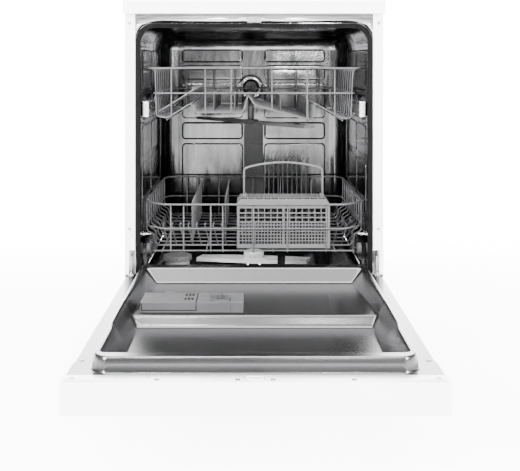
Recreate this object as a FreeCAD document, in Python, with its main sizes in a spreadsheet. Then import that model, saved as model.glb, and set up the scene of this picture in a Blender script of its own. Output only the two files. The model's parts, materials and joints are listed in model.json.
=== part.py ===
import FreeCAD, Part
import Sketcher
import os

# Freestanding dishwasher, door lying open. Millimetres, +X to the right seen from the front, +Y to the back, +Z up.
# The origin is on the floor, under the middle of the box that the machine fills with its door open.

os.makedirs("parts", exist_ok=True)
doc = FreeCAD.newDocument("dishwasher")
Vector = FreeCAD.Vector
Rotation = FreeCAD.Rotation


# ---------------------------------------------------------------- the sheet of driving dimensions

SIZES = [
    ("height", 850, "floor to the top of the worktop"),
    ("worktop_half", 300, "half the worktop's width"),
    ("worktop_thick", 30, "worktop thickness"),
    ("worktop_front", 4, "front edge of the worktop"),
    ("cabinet_half", 299, "half the cabinet's width"),
    ("cabinet_back", 574, "back of the cabinet"),
    ("flange_face", 31, "front plane of the side panels' flanges"),
    ("flange_width", 24, "width of those flanges"),
    ("panel_foot", 25, "bottom edge of the side panels"),
    ("panel_sheet", 1, "cabinet sheet thickness"),
    ("gap", 0.3, "gap between pieces that don't touch"),
    ("foot_inset", 34, "foot axis from the cabinet's side"),
    ("foot_front", 105, "axis of the front feet"),
    ("foot_rear", 540, "axis of the rear feet"),
    ("base_bottom", 22, "underside of the base pan"),
    ("base_top", 100, "top edge of the base pan"),
    ("tub_half", 264.5, "half the tub's inner width"),
    ("tub_top", 790, "inner height of the tub's ceiling"),
    ("tub_seam", 414, "weld between the tub's wrapper and its back"),
    ("tub_back", 521, "inner face of the tub's back wall"),
    ("tub_round", 42, "inner radius of the tub's corners"),
    ("tub_steel", 0.8, "tub sheet thickness"),
    ("floor_rim", 204, "height of the tub floor's edge"),
    ("floor_low", 176, "height of the tub floor's flat middle"),
    ("basin_half", 262, "half the basin's width at its edge"),
    ("flat_half", 165, "half the width of the basin's flat"),
    ("flat_front", 95, "front of the basin's flat"),
    ("flat_rear", 445, "rear of the basin's flat"),
    ("seal_half", 263, "half the clear width inside the door gasket"),
    ("seal_top", 788, "clear height inside the door gasket"),
    ("seal_band", 10.2, "width of the gasket"),
    ("pivot_y", 24, "door hinge axis"),
    ("pivot_z", 216, "height of the door hinge axis"),
    ("door_end", -574, "far end of the open door"),
    ("door_half", 292.5, "half the width of the door's skin"),
    ("door_inner", 219, "inner face of the open door's flange"),
    ("door_outer", 166, "outer face of the open door"),
    ("door_tail", 82, "end of the skin's tail below the hinge"),
    ("door_steel", 0.8, "door sheet thickness"),
    ("panel_length", 82, "length of the control panel's side lips"),
    ("panel_wall", 3, "control panel wall"),
    ("rim_half", 262, "half the width of the liner's raised rim"),
    ("rim_top", 245, "top of that rim"),
    ("rim_far", -545.5, "far face of the rim"),
    ("rim_near", 23, "face of the rim beside the hinge"),
    ("rim_round", 33, "corner radius of the rim"),
    ("recess_near", -12, "top edge of the recess beside the hinge"),
    ("recess_far", -521, "top edge of the recess at the far end"),
    ("recess_step", -252, "step between the two recess floors"),
    ("shallow_floor", 215, "floor of the recess beside the hinge"),
    ("deep_floor", 197, "floor of the far recess"),
    ("dose_left", -224, "left side of the dispenser"),
    ("dose_right", -22, "right side of the dispenser"),
    ("dose_front", -235, "far side of the dispenser"),
    ("dose_rear", -167, "side of the dispenser towards the hinge"),
    ("dose_top", 234.7, "top of the dispenser"),
    ("cap_x", -68, "centre of the rinse aid cap"),
    ("cap_y", -201, "centre of the rinse aid cap"),
    ("wire", 3.5, "wire diameter of the baskets"),
    ("rim_wire", 4.6, "diameter of the baskets' rim wires"),
    ("upper_front", 61, "front of the upper basket"),
    ("upper_rear", 480, "rear of the upper basket"),
    ("upper_rim", 695, "top wire of the upper basket"),
    ("upper_mid", 636, "second wire of the upper basket's front"),
    ("rail_height", 598, "axis height of the upper rails"),
    ("rail_front", 66, "front of the upper rails"),
    ("rail_length", 400, "length of the upper rails"),
    ("roller_radius", 15.2, "radius of the upper basket's rollers"),
    ("lower_front", 39, "front of the lower basket"),
    ("lower_rear", 493, "rear of the lower basket"),
    ("lower_half", 257, "half the lower basket's rim width"),
    ("lower_rim", 378, "rim of the lower basket"),
    ("lower_mid", 322, "second wire of the lower basket"),
    ("lower_floor", 271, "floor wires of the lower basket"),
    ("wheel_radius", 13, "radius of the lower basket's wheels"),
    ("track_top", 246, "top of the tracks of the lower basket"),
    ("hub_y", 286, "axis of the lower spray arm"),
    ("upper_hub_y", 276, "axis of the upper spray arm"),
    ("upper_hub_x", -8, "sideways place of the upper spray arm"),
    ("filter_x", 67, "axis of the filter"),
    ("filter_y", 138, "axis of the filter"),
    ("salt_x", -194, "axis of the salt port"),
    ("salt_y", 201, "axis of the salt port"),
    ("caddy_left", -41, "left side of the cutlery basket"),
    ("caddy_right", 178, "right side of the cutlery basket"),
    ("caddy_front", 45, "front of the cutlery basket"),
    ("caddy_depth", 105, "depth of the cutlery basket"),
    ("caddy_bottom", 274, "bottom of the cutlery basket"),
    ("caddy_top", 374, "top of the cutlery basket's front wall"),
    ("port_height", 638, "axis height of the upper water port"),
    ("thread_radius", 13.22, "G 3/4 inlet thread, outside radius"),
    ("spigot_radius", 10, "drain spigot, outside radius"),
    ("drain_x", 170, "sideways place of the drain spigot"),
    ("drain_z", 90, "height of the drain spigot"),
]

sheet = doc.addObject("Spreadsheet::Sheet", "Size")
for row, (alias, number, note) in enumerate(SIZES, start=1):
    sheet.set(f"A{row}", alias)
    sheet.set(f"B{row}", str(number))
    sheet.set(f"C{row}", note)
    sheet.setAlias(f"B{row}", alias)
doc.recompute()


class Dim:
    """A length that knows both its number and the sheet expression that gives it."""

    def __init__(self, text, number):
        self.text = text
        self.number = number

    def joined(self, sign, other, number):
        return Dim(f"({self.text} {sign} {text_of(other)})", number)

    def __add__(self, other):
        return self.joined("+", other, self.number + float(other))

    def __sub__(self, other):
        return self.joined("-", other, self.number - float(other))

    def __mul__(self, other):
        return self.joined("*", other, self.number * float(other))

    def __truediv__(self, other):
        return self.joined("/", other, self.number / float(other))

    def __radd__(self, other):
        return Dim(text_of(other), other) + self

    def __rsub__(self, other):
        return Dim(text_of(other), other) - self

    def __rmul__(self, other):
        return Dim(text_of(other), other) * self

    def __neg__(self):
        return Dim(f"(0 - {self.text})", -self.number)

    def __float__(self):
        return float(self.number)


def text_of(value):
    return value.text if isinstance(value, Dim) else f"({float(value)!r})"


class Sizes:
    """The sheet's cells as Dims, one attribute for each alias."""


size = Sizes()
for alias, number, note in SIZES:
    setattr(size, alias, Dim(f"Size.{alias}", sheet.get(alias)))


# ---------------------------------------------------------------- building blocks

nodes = {}
AXES = {
    "X": Rotation(Vector(0, 1, 0), 90),
    "Y": Rotation(Vector(1, 0, 0), -90),
    "Z": Rotation(),
}


def keep(node, item):
    """Names the finished object of one node."""
    item.Label = node
    nodes[node] = item
    return item


def bind(item, prop, value):
    item.setExpression(prop, text_of(value))


def place(item, x, y, z, rotation=Rotation()):
    """Puts an object at x, y, z, each bound to the sheet."""
    item.Placement = FreeCAD.Placement(Vector(float(x), float(y), float(z)), rotation)
    for axis, value in zip("xyz", (x, y, z)):
        bind(item, f"Placement.Base.{axis}", value)
    return item


def block(name, x, y, z):
    """A Part::Box between two planes on each axis."""
    item = doc.addObject("Part::Box", name)
    for prop, (low, high) in zip(("Length", "Width", "Height"), (x, y, z)):
        bind(item, prop, high - low)
    return place(item, x[0], y[0], z[0])


def rod(name, start, length, radius, axis="Z"):
    """A Part::Cylinder from start along an axis."""
    item = doc.addObject("Part::Cylinder", name)
    bind(item, "Radius", radius)
    bind(item, "Height", length)
    return place(item, *start, AXES[axis])


def taper(name, low, high, z):
    """A Part::Wedge with a rectangle low at z[0] and a rectangle high at z[1], each (x0, x1, y0, y1)."""
    item = doc.addObject("Part::Wedge", name)
    values = {
        "Ymin": z[0],
        "Ymax": z[1],
        "Xmin": low[0],
        "Xmax": low[1],
        "Zmin": -low[3],
        "Zmax": -low[2],
        "X2min": high[0],
        "X2max": high[1],
        "Z2min": -high[3],
        "Z2max": -high[2],
    }
    for prop, value in values.items():
        setattr(item, prop, float(value))
        bind(item, prop, value)
    item.Placement = FreeCAD.Placement(Vector(), Rotation(Vector(1, 0, 0), 90))
    return item


def fuse(name, *items):
    item = doc.addObject("Part::MultiFuse", name)
    item.Shapes = list(items)
    item.Refine = True
    return item


def cut(name, base, *tools):
    item = doc.addObject("Part::Cut", name)
    item.Base = base
    item.Tool = tools[0] if len(tools) == 1 else fuse(name + "_tools", *tools)
    item.Refine = True
    return item


def group(name, *items):
    item = doc.addObject("Part::Compound", name)
    item.Links = list(items)
    return item


def mirrored(name, source):
    """The same piece on the other side of the machine."""
    item = doc.addObject("Part::Mirroring", name)
    item.Source = source
    item.Normal = Vector(1, 0, 0)
    return item


def both_sides(name, source):
    return group(name, source, mirrored(name + "_other", source))


def edge_names(item, wanted, along=None):
    """The numbers of the edges whose two ends satisfy wanted(point), running along one axis if that is given."""
    doc.recompute()
    found = []
    for number, edge in enumerate(item.Shape.Edges, start=1):
        ends = [v.Point for v in edge.Vertexes]
        if len(ends) != 2 or not all(wanted(p) for p in ends):
            continue
        run = ends[1] - ends[0]
        if along is None or near(abs(getattr(run, along)), run.Length):
            found.append(number)
    if not found:
        raise ValueError(f"no edge of {item.Name} to round")
    return found


def rounded(name, base, radius, wanted, along=None):
    """A Part::Fillet on the chosen edges."""
    picked = edge_names(base, wanted, along)
    item = doc.addObject("Part::Fillet", name)
    item.Base = base
    item.Edges = [(number, float(radius), float(radius)) for number in picked]
    return item


def near(value, target):
    return abs(value - float(target)) < 0.01


# ---------------------------------------------------------------- sketched bodies

PLANES = {"XY": "XY_Plane", "XZ": "XZ_Plane", "YZ": "YZ_Plane"}


def outline(part, name, plane, offset, points):
    """A closed sketch of straight sides on one of the body's own origin planes, each corner tied to the sheet."""
    sketch = part.newObject("Sketcher::SketchObject", name)
    origin = [f for f in part.Origin.OriginFeatures if f.Role == PLANES[plane]][0]
    sketch.AttachmentSupport = [(origin, "")]
    sketch.MapMode = "FlatFace"
    bind(sketch, "AttachmentOffset.Base.z", offset)
    corners = [Vector(float(u), float(v), 0) for u, v in points]
    for i, corner in enumerate(corners):
        sketch.addGeometry(Part.LineSegment(corner, corners[(i + 1) % len(corners)]), False)
    for i in range(len(corners)):
        sketch.addConstraint(Sketcher.Constraint("Coincident", i, 2, (i + 1) % len(corners), 1))
    for i, pair in enumerate(points):
        for kind, value in zip(("DistanceX", "DistanceY"), pair):
            number = sketch.addConstraint(Sketcher.Constraint(kind, -1, 1, i, 1, float(value)))
            sketch.setExpression(f"Constraints[{number}]", text_of(value))
    return sketch


def padded(name, plane, low, high, points):
    """A PartDesign body: one straight-sided outline pushed out from low to high."""
    part = doc.addObject("PartDesign::Body", name)
    start = -high if plane == "XZ" else low
    sketch = outline(part, name + "_sketch", plane, start, points)
    pad = part.newObject("PartDesign::Pad", name + "_pad")
    pad.Profile = sketch
    bind(pad, "Length", high - low)
    part.Tip = pad
    doc.recompute()
    return part


def body_fillet(part, name, radius, wanted, along=None):
    """Rounds chosen edges of the body's tip."""
    tip = part.Tip
    picked = [f"Edge{number}" for number in edge_names(tip, wanted, along)]
    fillet = part.newObject("PartDesign::Fillet", name)
    fillet.Base = (tip, picked)
    fillet.Radius = float(radius)
    part.Tip = fillet
    doc.recompute()
    return part


def turned(name, points, axis="V_Axis"):
    """A PartDesign body: an outline of (radius, height) points turned about the body's own axis."""
    part = doc.addObject("PartDesign::Body", name)
    sketch = outline(part, name + "_sketch", "XZ", 0, points)
    turn = part.newObject("PartDesign::Revolution", name + "_turn")
    turn.Profile = sketch
    turn.ReferenceAxis = (sketch, [axis])
    turn.Angle = 360
    part.Tip = turn
    doc.recompute()
    return part


def arch(half, top, foot, wall):
    """The outline of an upside-down U: its clear half width, clear height, foot height and wall."""
    return [
        (-half - wall, foot),
        (-half - wall, top + wall),
        (half + wall, top + wall),
        (half + wall, foot),
        (half, foot),
        (half, top),
        (-half, top),
        (-half, foot),
    ]


def arch_body(name, half, top, foot, wall, low, high, radius):
    """An arch pushed out along Y, its two clear corners and its two outer corners rounded."""
    part = padded(name, "XZ", low, high, arch(half, top, foot, wall))

    def inside(p):
        return near(abs(p.x), half) and near(p.z, top)

    def outside(p):
        return near(abs(p.x), half + wall) and near(p.z, top + wall)

    body_fillet(part, name + "_inner", radius, inside, "y")
    return body_fillet(part, name + "_outer", float(radius) + float(wall), outside, "y")


# ---------------------------------------------------------------- wires

def wire_solid(start, end, diameter):
    """One straight wire."""
    start, end = Vector(*start), Vector(*end)
    run = end - start
    return Part.makeCylinder(diameter / 2, run.Length, start, run)


def chain(points, diameter, closed=False):
    """Straight wires from point to point."""
    pairs = list(zip(points, points[1:] + points[:1] if closed else points[1:]))
    return [wire_solid(a, b, diameter) for a, b in pairs]


def spread(low, high, count):
    """Evenly spaced numbers from low to high."""
    return [low + (high - low) * i / (count - 1) for i in range(count)]


def shaped(node, solids):
    """A Part::Feature whose solids are made by code, because no primitive or body fits a welded wire frame."""
    item = doc.addObject("Part::Feature", node)
    item.Shape = Part.makeCompound(solids)
    item.Placement = FreeCAD.Placement()
    return keep(node, item)


# ---------------------------------------------------------------- cabinet

def make_worktop():
    part = padded(
        "worktop_body",
        "XY",
        size.height - size.worktop_thick,
        size.height,
        [
            (-size.worktop_half, size.worktop_front),
            (size.worktop_half, size.worktop_front),
            (size.worktop_half, size.cabinet_back),
            (-size.worktop_half, size.cabinet_back),
        ],
    )
    body_fillet(part, "worktop_corners", 6, lambda p: near(p.y, size.worktop_front), "z")
    body_fillet(part, "worktop_edge", 2.5, lambda p: near(p.z, size.height) and p.y < 573)
    keep("worktop", part)


def make_side_panels():
    out, inner = size.cabinet_half, size.cabinet_half - size.panel_sheet
    face, back = size.flange_face, size.cabinet_back
    top = size.height - size.worktop_thick - size.gap
    hinge_slot_top = 274
    flange = (face, face + size.panel_sheet)
    panel = fuse(
        "side_blank",
        block("side_plate", (inner, out), (face, back), (size.panel_foot, top)),
        block("side_flange", (out - size.flange_width, out), flange, (hinge_slot_top, top)),
        block("side_strip", (out - 9.5, out), flange, (218, hinge_slot_top)),
        block("side_return", (out - 16, out), (back - size.panel_sheet, back), (size.panel_foot, top)),
    )
    holes = [rod(f"side_hole_{z}", (288, face - 1, z), 4, 2.15, "Y") for z in SCREW_HEIGHTS]
    right = cut("side_right", panel, *holes)
    keep("side_panel_right", right)
    keep("side_panel_left", mirrored("side_left", right))


SCREW_HEIGHTS = (323, 799)


def make_cabinet_screws():
    face = size.flange_face
    screws = []
    for z in SCREW_HEIGHTS:
        head = rod(f"screw_head_{z}", (288, face - 1.8, z), 1.8, 4, "Y")
        shank = rod(f"screw_shank_{z}", (288, face - 0.5, z), 9, 2, "Y")
        screws.append(fuse(f"screw_{z}", head, shank))
    keep("cabinet_screws", both_sides("cabinet_screw_pair", group("screws_right", *screws)))


def make_rear_panel():
    back = size.cabinet_back - size.panel_sheet - size.gap
    half = size.cabinet_half - 3
    keep("rear_panel", block("rear_sheet", (-half, half), (back - 1.2, back), (200, 815)))


def make_base_pan():
    wall = 2.5
    half = size.cabinet_half - 3
    low, top = size.base_bottom, size.base_top
    tray = block("pan_outer", (-half, half), (74, 570), (low, top))
    hollow = block("pan_inner", (wall - half, half - wall), (74 + wall, 570 - wall), (low + wall, top + 1))
    bosses, bores = [], []
    for side in (-1, 1):
        for place_name, y in (("front", size.foot_front), ("rear", size.foot_rear)):
            x = (size.cabinet_half - size.foot_inset) * side
            label = f"{place_name}_{'left' if side < 0 else 'right'}"
            bosses.append(rod("boss_" + label, (x, y, low), 42, 16))
            bores.append(rod("boss_bore_" + label, (x, y, low - 1), 44, 6.08))
    bores.append(rod("pan_outlet", (size.drain_x, 560, size.drain_z), 14, size.spigot_radius + 1, "Y"))
    shell = cut("pan_shell", tray, hollow)
    keep("base_pan", cut("pan_bored", fuse("pan_bosses", shell, *bosses), *bores))


def make_feet():
    stem = [(0, 0), (20, 0), (22, 3), (22, 8), (12, 13), (12, 21.7), (6, 21.7), (6, 58), (0, 58)]
    for side, side_name in ((-1, "left"), (1, "right")):
        for end, y in (("front", size.foot_front), ("rear", size.foot_rear)):
            node = f"foot_{end}_{side_name}"
            foot = turned(node + "_body", stem)
            place(foot, (size.cabinet_half - size.foot_inset) * side, y, 0)
            keep(node, foot)


def make_kick_plate():
    half = size.cabinet_half - 3
    face = block("kick_face", (-half, half), (66, 67.2), (30, 138))
    top = block("kick_top", (-half, half), (66, 72), (136.8, 138))
    keep("kick_plate", fuse("kick", face, top))


def make_front_frame():
    half, top = size.seal_half + size.seal_band + 0.4, size.seal_top + size.seal_band + 0.4
    back = size.flange_face + size.panel_sheet + size.gap
    plate = padded(
        "frame_plate",
        "XZ",
        back,
        back + 1.2,
        [
            (-297, 274),
            (-297, 819),
            (297, 819),
            (297, 274),
            (half, 274),
            (half, top),
            (-half, top),
            (-half, 274),
        ],
    )
    body_fillet(plate, "frame_corners", 38, lambda p: near(abs(p.x), half) and near(p.z, top), "y")
    lip = arch_body("frame_lip", half, top, 274, 1.2, back + 1.2, 40, 38)
    screw_holes = []
    for z in SCREW_HEIGHTS:
        for side in (-1, 1):
            screw_holes.append(rod(f"frame_hole_{z}_{side + 1}", (288 * side, 30, z), 6, 2.15, "Y"))
    keep("front_frame", cut("frame_drilled", fuse("frame", plate, lip), *screw_holes))


def make_door_gasket():
    arch_part = arch_body(
        "seal_arch", size.seal_half, size.seal_top, 222, size.seal_band, 27.6, 38, size.rim_round
    )
    sill = block("seal_sill", (-262, 262), (31, 36), (203, 211))
    keep("door_gasket", group("seals", arch_part, sill))


def make_tub_wrapper():
    steel = size.tub_steel
    shell = arch_body(
        "wrapper_shell", size.tub_half, size.tub_top, 206, steel, 39, size.tub_seam, size.tub_round
    )
    wide = size.seal_half + size.seal_band - size.tub_half
    lip = arch_body(
        "wrapper_lip", size.tub_half, size.tub_top, 222, wide - 1.4, 38.2, 39, size.tub_round
    )
    keep("tub_wrapper", fuse("wrapper", shell, lip))


def back_block(name, grow, front):
    """The tub's back as a solid block with round corners, grown outwards by a wall."""
    half, top = size.tub_half + grow, size.tub_top + grow
    rear = size.tub_back + grow
    low = 206
    base = block(name + "_block", (-half, half), (front, rear), (low, top))
    round_radius = float(size.tub_round) + float(grow)

    picked = edge_names(base, lambda p: near(p.y, rear), "z")
    picked += edge_names(base, lambda p: near(p.y, rear) and near(p.z, top), "x")
    picked += edge_names(base, lambda p: near(p.z, top), "y")
    item = doc.addObject("Part::Fillet", name)
    item.Base = base
    item.Edges = [(number, round_radius, round_radius) for number in picked]
    return item


def make_tub_back():
    outer = back_block("back_outer", size.tub_steel, size.tub_seam + size.gap)
    inner = back_block("back_inner", 0 * size.tub_steel, size.tub_seam - 1)
    mouth = block("back_mouth", (-264, 264), (416, 470), (200, 207))
    keep("tub_back", cut("back", outer, inner, mouth))


def make_tub_floor():
    steel = size.tub_steel
    rim, low = size.floor_rim, size.floor_low
    edge = size.basin_half
    flat = (-size.flat_half, size.flat_half, size.flat_front, size.flat_rear)
    wide = (-edge, edge, 62, 500)
    flat_out = (flat[0] - steel, flat[1] + steel, flat[2] - steel, flat[3] + steel)
    wide_out = (wide[0] - steel, wide[1] + steel, wide[2] - steel, wide[3] + steel)
    plate = block("floor_plate", (-264.4, 264.4), (38, 480), (rim, rim + steel))
    rear = block("floor_rear", (-262.8, 262.8), (480, 520.6), (rim, rim + steel))
    lip = block("floor_lip", (-262, 262), (37.2, 38.2), (196, 212))
    shell = fuse("floor_shell", plate, rear, lip, taper("basin_out", flat_out, wide_out, (low - steel, rim + steel)))
    hollow = taper("basin_in", flat, wide, (low, rim + steel + 0.01))
    holes = [
        rod("floor_hub_hole", (0, size.hub_y, low - 3), 6, 18),
        rod("floor_filter_hole", (size.filter_x, size.filter_y, low - 3), 6, 39.4),
        rod("floor_salt_hole", (size.salt_x, size.salt_y, low - 3), 40, 32),
    ]
    keep("tub_floor", cut("floor", shell, hollow, *holes))


def make_sump():
    x, y = size.filter_x, size.filter_y
    top = size.floor_low - size.tub_steel - size.gap
    cup = fuse("sump_outer", rod("sump_cup", (x, y, 105), top - 105, 44), rod("sump_lip", (x, y, top - 3), 3, 50))
    channel = block("sump_channel", (-18, 60), (150, 290), (112, 140))
    tower = rod("hub_tower", (0, size.hub_y, 112), 71, 14)
    spigot = rod("hub_spigot", (0, size.hub_y, 183), 17, 10)
    bore = rod("hub_bore", (0, size.hub_y, 130), 71, 7)
    well = rod("sump_well", (x, y, 108), top - 107, 40)
    casting = cut("sump_casting", fuse("sump_blank", cup, channel, tower, spigot), well, bore)
    drain = fuse(
        "drain_pump",
        rod("drain_motor", (125, 200, 90), 45, 26),
        rod("drain_volute", (125, 200, 72), 18, 32),
    )
    outlet = rod("drain_pipe", (size.drain_x, 548, size.drain_z), 25, size.spigot_radius, "Y")
    outlet_run = rod("drain_hose", (size.drain_x, 215, size.drain_z), 333, 7, "Y")
    elbow = rod("drain_elbow", (145, 215, size.drain_z), 32, 7, "X")
    keep("sump", group("sump_set", casting, drain, fuse("drain_line", outlet, outlet_run, elbow)))


def make_pump():
    motor = rod("pump_motor", (-95, 345, 96), 130, 40, "X")
    volute = rod("pump_volute", (35, 345, 96), 34, 52, "X")
    feet = block("pump_feet", (-80, 20), (315, 375), (size.base_bottom + 2.5 + size.gap, 60))
    keep("circulation_pump", fuse("pump", motor, volute, feet))


def make_softener_tank():
    x, y = size.salt_x, size.salt_y
    tank = block("salt_tank", (-262, -122), (130, 330), (40, 160))
    neck = rod("salt_neck", (x, y, 150), 61, 31)
    bore = rod("salt_bore", (x, y, 60), 152, 26)
    keep("softener_tank", cut("salt_vessel", fuse("salt_blank", tank, neck), bore))


def make_inlet_valve():
    thread = rod("inlet_thread", (-200, 559, 130), 14, size.thread_radius, "Y")
    flange = rod("inlet_flange", (-200, 553, 130), 6, 18, "Y")
    valve = block("inlet_body", (-216, -184), (500, 553), (110, 150))
    bore = rod("inlet_bore", (-200, 530, 130), 45, 5, "Y")
    keep("inlet_valve", cut("inlet", fuse("inlet_blank", thread, flange, valve), bore))


def make_mains_gland():
    box_part = block("mains_box", (215, 275), (520, 566), (110, 170))
    neck = rod("mains_neck", (245, 560, 125), 13, 10, "Y")
    bore = rod("mains_bore", (245, 540, 125), 34, 4.5, "Y")
    keep("mains_gland", cut("mains", fuse("mains_blank", box_part, neck), bore))


def make_feed_duct():
    duct = block("duct_box", (-28, 28), (508, size.tub_back - size.gap), (214, 528))
    x = size.upper_hub_x
    ring_blank = rod("port_ring", (x, 508, size.port_height), size.tub_back - size.gap - 508, 18, "Y")
    ring_bore = rod("port_bore", (x, 505, size.port_height), 20, 12, "Y")
    keep("feed_duct", group("duct_set", duct, cut("port", ring_blank, ring_bore)))


def make_rail_brackets():
    blocks = []
    for y in (110, 240):
        pad = block(f"bracket_pad_{y}", (262.8, 264.2), (y - 18, y + 18), (570, 626))
        guide = block(f"bracket_guide_{y}", (257.1, 262.8), (y - 14, y + 14), (583, 613))
        blocks.append(fuse(f"bracket_{y}", pad, guide))
    keep("rail_brackets", both_sides("rail_bracket_set", group("rail_brackets_right", *blocks)))


def make_tracks():
    top = size.track_top
    ledge = block("track_ledge", (247, 264.2), (57, 478), (top - 3, top))
    web = block("track_web", (261.5, 264.2), (57, 478), (226, top))
    post = block("track_post", (249, 264.2), (57, 69), (214, top))
    keep("basket_tracks", both_sides("tracks", fuse("track", ledge, web, post)))


def make_striker():
    plate = block("striker_plate", (-16, 16), (30.8, 32.2), (800, 812))
    bars = [block(f"striker_bar_{i}", (x, x + 4), (12, 31), (801, 805.5)) for i, x in enumerate((-8, 4))]
    tip = block("striker_tip", (-8, 8), (12, 16), (801, 805.5))
    keep("door_striker", fuse("striker", plate, tip, *bars))


def make_hinge_brackets():
    y, z = size.pivot_y, size.pivot_z
    plate = block("bracket_plate", (286.2, 288.6), (34, 110), (140, 272))
    tab = rod("bracket_tab", (286.2, y, z), 2.4, 9, "X")
    neck = block("bracket_neck", (286.2, 288.6), (y, 36), (z - 9, z + 9))
    pin = rod("hinge_pin", (279.6, y, z), 8, 4, "X")
    head = rod("hinge_pin_head", (278.2, y, z), 1.4, 6.5, "X")
    keep("hinge_brackets", both_sides("hinge_bracket_set", fuse("hinge_bracket", plate, tab, neck, pin, head)))


def coil(x, y, low, high, radius, diameter, turns):
    """A coil spring standing along Z."""
    pitch = (high - low) / turns
    path = Part.makeHelix(pitch, high - low, radius)
    profile = Part.Wire(Part.makeCircle(diameter / 2, Vector(radius, 0, 0), Vector(0, 1, 0)))
    spring = Part.Wire(path).makePipeShell([profile], True, True)
    spring.translate(Vector(x, y, low))
    return spring


def make_door_springs():
    springs = [coil(side * 281, 122, 104, 190, 8, 2.4, 11) for side in (-1, 1)]
    shaped("door_springs", springs)


# ---------------------------------------------------------------- door

def hinge_notch(name, side):
    """The clearance that the door leaves around one hinge tab."""
    x = (276, 301) if side > 0 else (-301, -276)
    return block(name, x, (8, 60), (196, 232))


def make_door_skin():
    steel = size.door_steel
    half, low = size.door_half, size.door_outer
    far = size.door_end + size.panel_length
    lip_top = size.door_inner - steel - size.gap
    tail = half - 11
    skin = fuse(
        "skin_blank",
        block("skin_face", (-half, half), (far + 0.4, 30), (low, low + steel)),
        block("skin_tail_face", (-tail, tail), (30, size.door_tail), (low, low + steel)),
        block("skin_side", (half - steel, half), (far + 0.4, 6), (low, lip_top)),
        block("skin_side_left", (-half, steel - half), (far + 0.4, 6), (low, lip_top)),
        block("skin_tail", (-tail, tail), (size.door_tail - steel, size.door_tail), (low, low + 6)),
    )
    keep("door_outer_panel", skin)


BUTTON_PLACES = {"power_button": -235, "program_button": -60, "start_button": 235}
BUTTON_Y = -530


def make_control_panel():
    half, wall, side = 298, size.panel_wall, 5
    end, low = size.door_end, size.door_outer
    inner_end = end + size.panel_length
    shell = block("panel_outer", (-half, half), (end, inner_end), (low, size.door_inner))
    shell = rounded("panel_round", shell, 5, lambda p: near(p.y, end) and near(p.z, low))
    hollow = block(
        "panel_hollow", (side - half, half - side), (end + wall, inner_end + 1), (low + wall, size.door_inner + 1)
    )
    grip = block("panel_grip", (-95, 95), (-516, -480), (low - 1, low + 26))
    grip_shell = block("panel_grip_shell", (-98, 98), (-519, inner_end), (low, low + 28))
    holes = []
    for node, x in BUTTON_PLACES.items():
        holes.append(block(node + "_hole", (x - 14.4, x + 14.4), (BUTTON_Y - 6.4, BUTTON_Y + 6.4), (low - 1, low + 4)))
    body_shell = fuse("panel_with_grip", cut("panel_shell", shell, hollow), grip_shell)
    keep("control_panel", cut("panel", body_shell, grip, *holes))


def make_buttons():
    low = size.door_outer
    for node, x in BUTTON_PLACES.items():
        cap = block(node + "_cap", (x - 14, x + 14), (BUTTON_Y - 6, BUTTON_Y + 6), (low - 1.2, low + 6))
        keep(node, rounded(node + "_round", cap, 1, lambda p: near(p.z, low - 1.2)))


def make_door_liner():
    steel = size.door_steel
    top, half = size.rim_top, size.rim_half
    flange = block("liner_flange", (-291.5, 291.5), (-570.5, 27), (size.door_inner - steel, size.door_inner))

    def rim_block(name, shrink):
        side, high = half - shrink, top - shrink
        near_face, far_face = size.rim_near - shrink, size.rim_far + shrink
        low = size.door_inner - steel
        base = block(name + "_block", (-side, side), (far_face, near_face), (low, high))
        upright = rounded(
            name + "_upright",
            base,
            float(size.rim_round) - float(shrink),
            lambda p: near(p.y, far_face),
            "z",
        )
        return rounded(name, upright, 7 - float(shrink), lambda p: near(p.z, high))

    outer = rim_block("rim_outer", 0 * steel)
    inner = rim_block("rim_inner", steel)
    clear = block("rim_clear", (-261, 261), (-540, 22), (size.door_inner - 3, size.door_inner + 1))

    shallow, deep = size.shallow_floor, size.deep_floor
    step = size.recess_step

    def recess_near(name, grow, lift):
        low = (-238 - grow, 238 + grow, step - 4 - grow, -27 + grow)
        high = (-249 - grow, 249 + grow, step - 4 - grow, size.recess_near + grow)
        return taper(name, low, high, (shallow - grow, top + lift))

    def recess_far(name, grow, lift):
        low = (-226 - grow, 226 + grow, -506 - grow, step - 15 + grow)
        high = (-245.5 - grow, 245.5 + grow, size.recess_far - grow, step + 8 + grow)
        return taper(name, low, high, (deep - grow, top + lift))

    none = 0 * steel
    walls = fuse("recess_walls", recess_near("near_out", steel, none), recess_far("far_out", steel, none))
    spaces = fuse("recess_spaces", recess_near("near_in", none, 1), recess_far("far_in", none, 1))
    dome = cut("rim_dome", fuse("rim_on_flange", flange, outer), inner, clear)
    pressed = cut("liner_pressed", fuse("liner_blank", dome, walls), spaces)
    openings = [
        block("dose_opening", (-220, -28), (-230, -171), (190, shallow + 1)),
        block("latch_opening", (-22.4, 22.4), (-572, -543.9), (216, 224)),
        hinge_notch("liner_notch_right", 1),
        hinge_notch("liner_notch_left", -1),
    ]
    keep("door_liner", cut("liner", pressed, *openings))


def make_insulation():
    slab = block("felt", (-262, 262), (-470, -30), (168, 195))
    well = block("felt_well", (-222, -26), (-232, -169), (180, 196))
    keep("door_insulation", cut("felt_cut", slab, well))


def make_hinge_arms():
    y, z = size.pivot_y, size.pivot_z
    eye = rod("arm_eye", (281, y, z), 3, 12, "X")
    forward = block("arm_forward", (281, 284), (-150, y), (z - 24, z - 1.5))
    riser = block("arm_riser", (281, 284), (y, y + 15), (z, z + 46))
    hook = block("arm_hook", (281, 284), (y + 6, y + 28), (z + 34, z + 46))
    bore = rod("arm_bore", (280, y, z), 5, 4.05, "X")
    keep("hinge_arms", both_sides("hinge_arm_set", cut("hinge_arm", fuse("arm", eye, forward, riser, hook), bore)))


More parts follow.
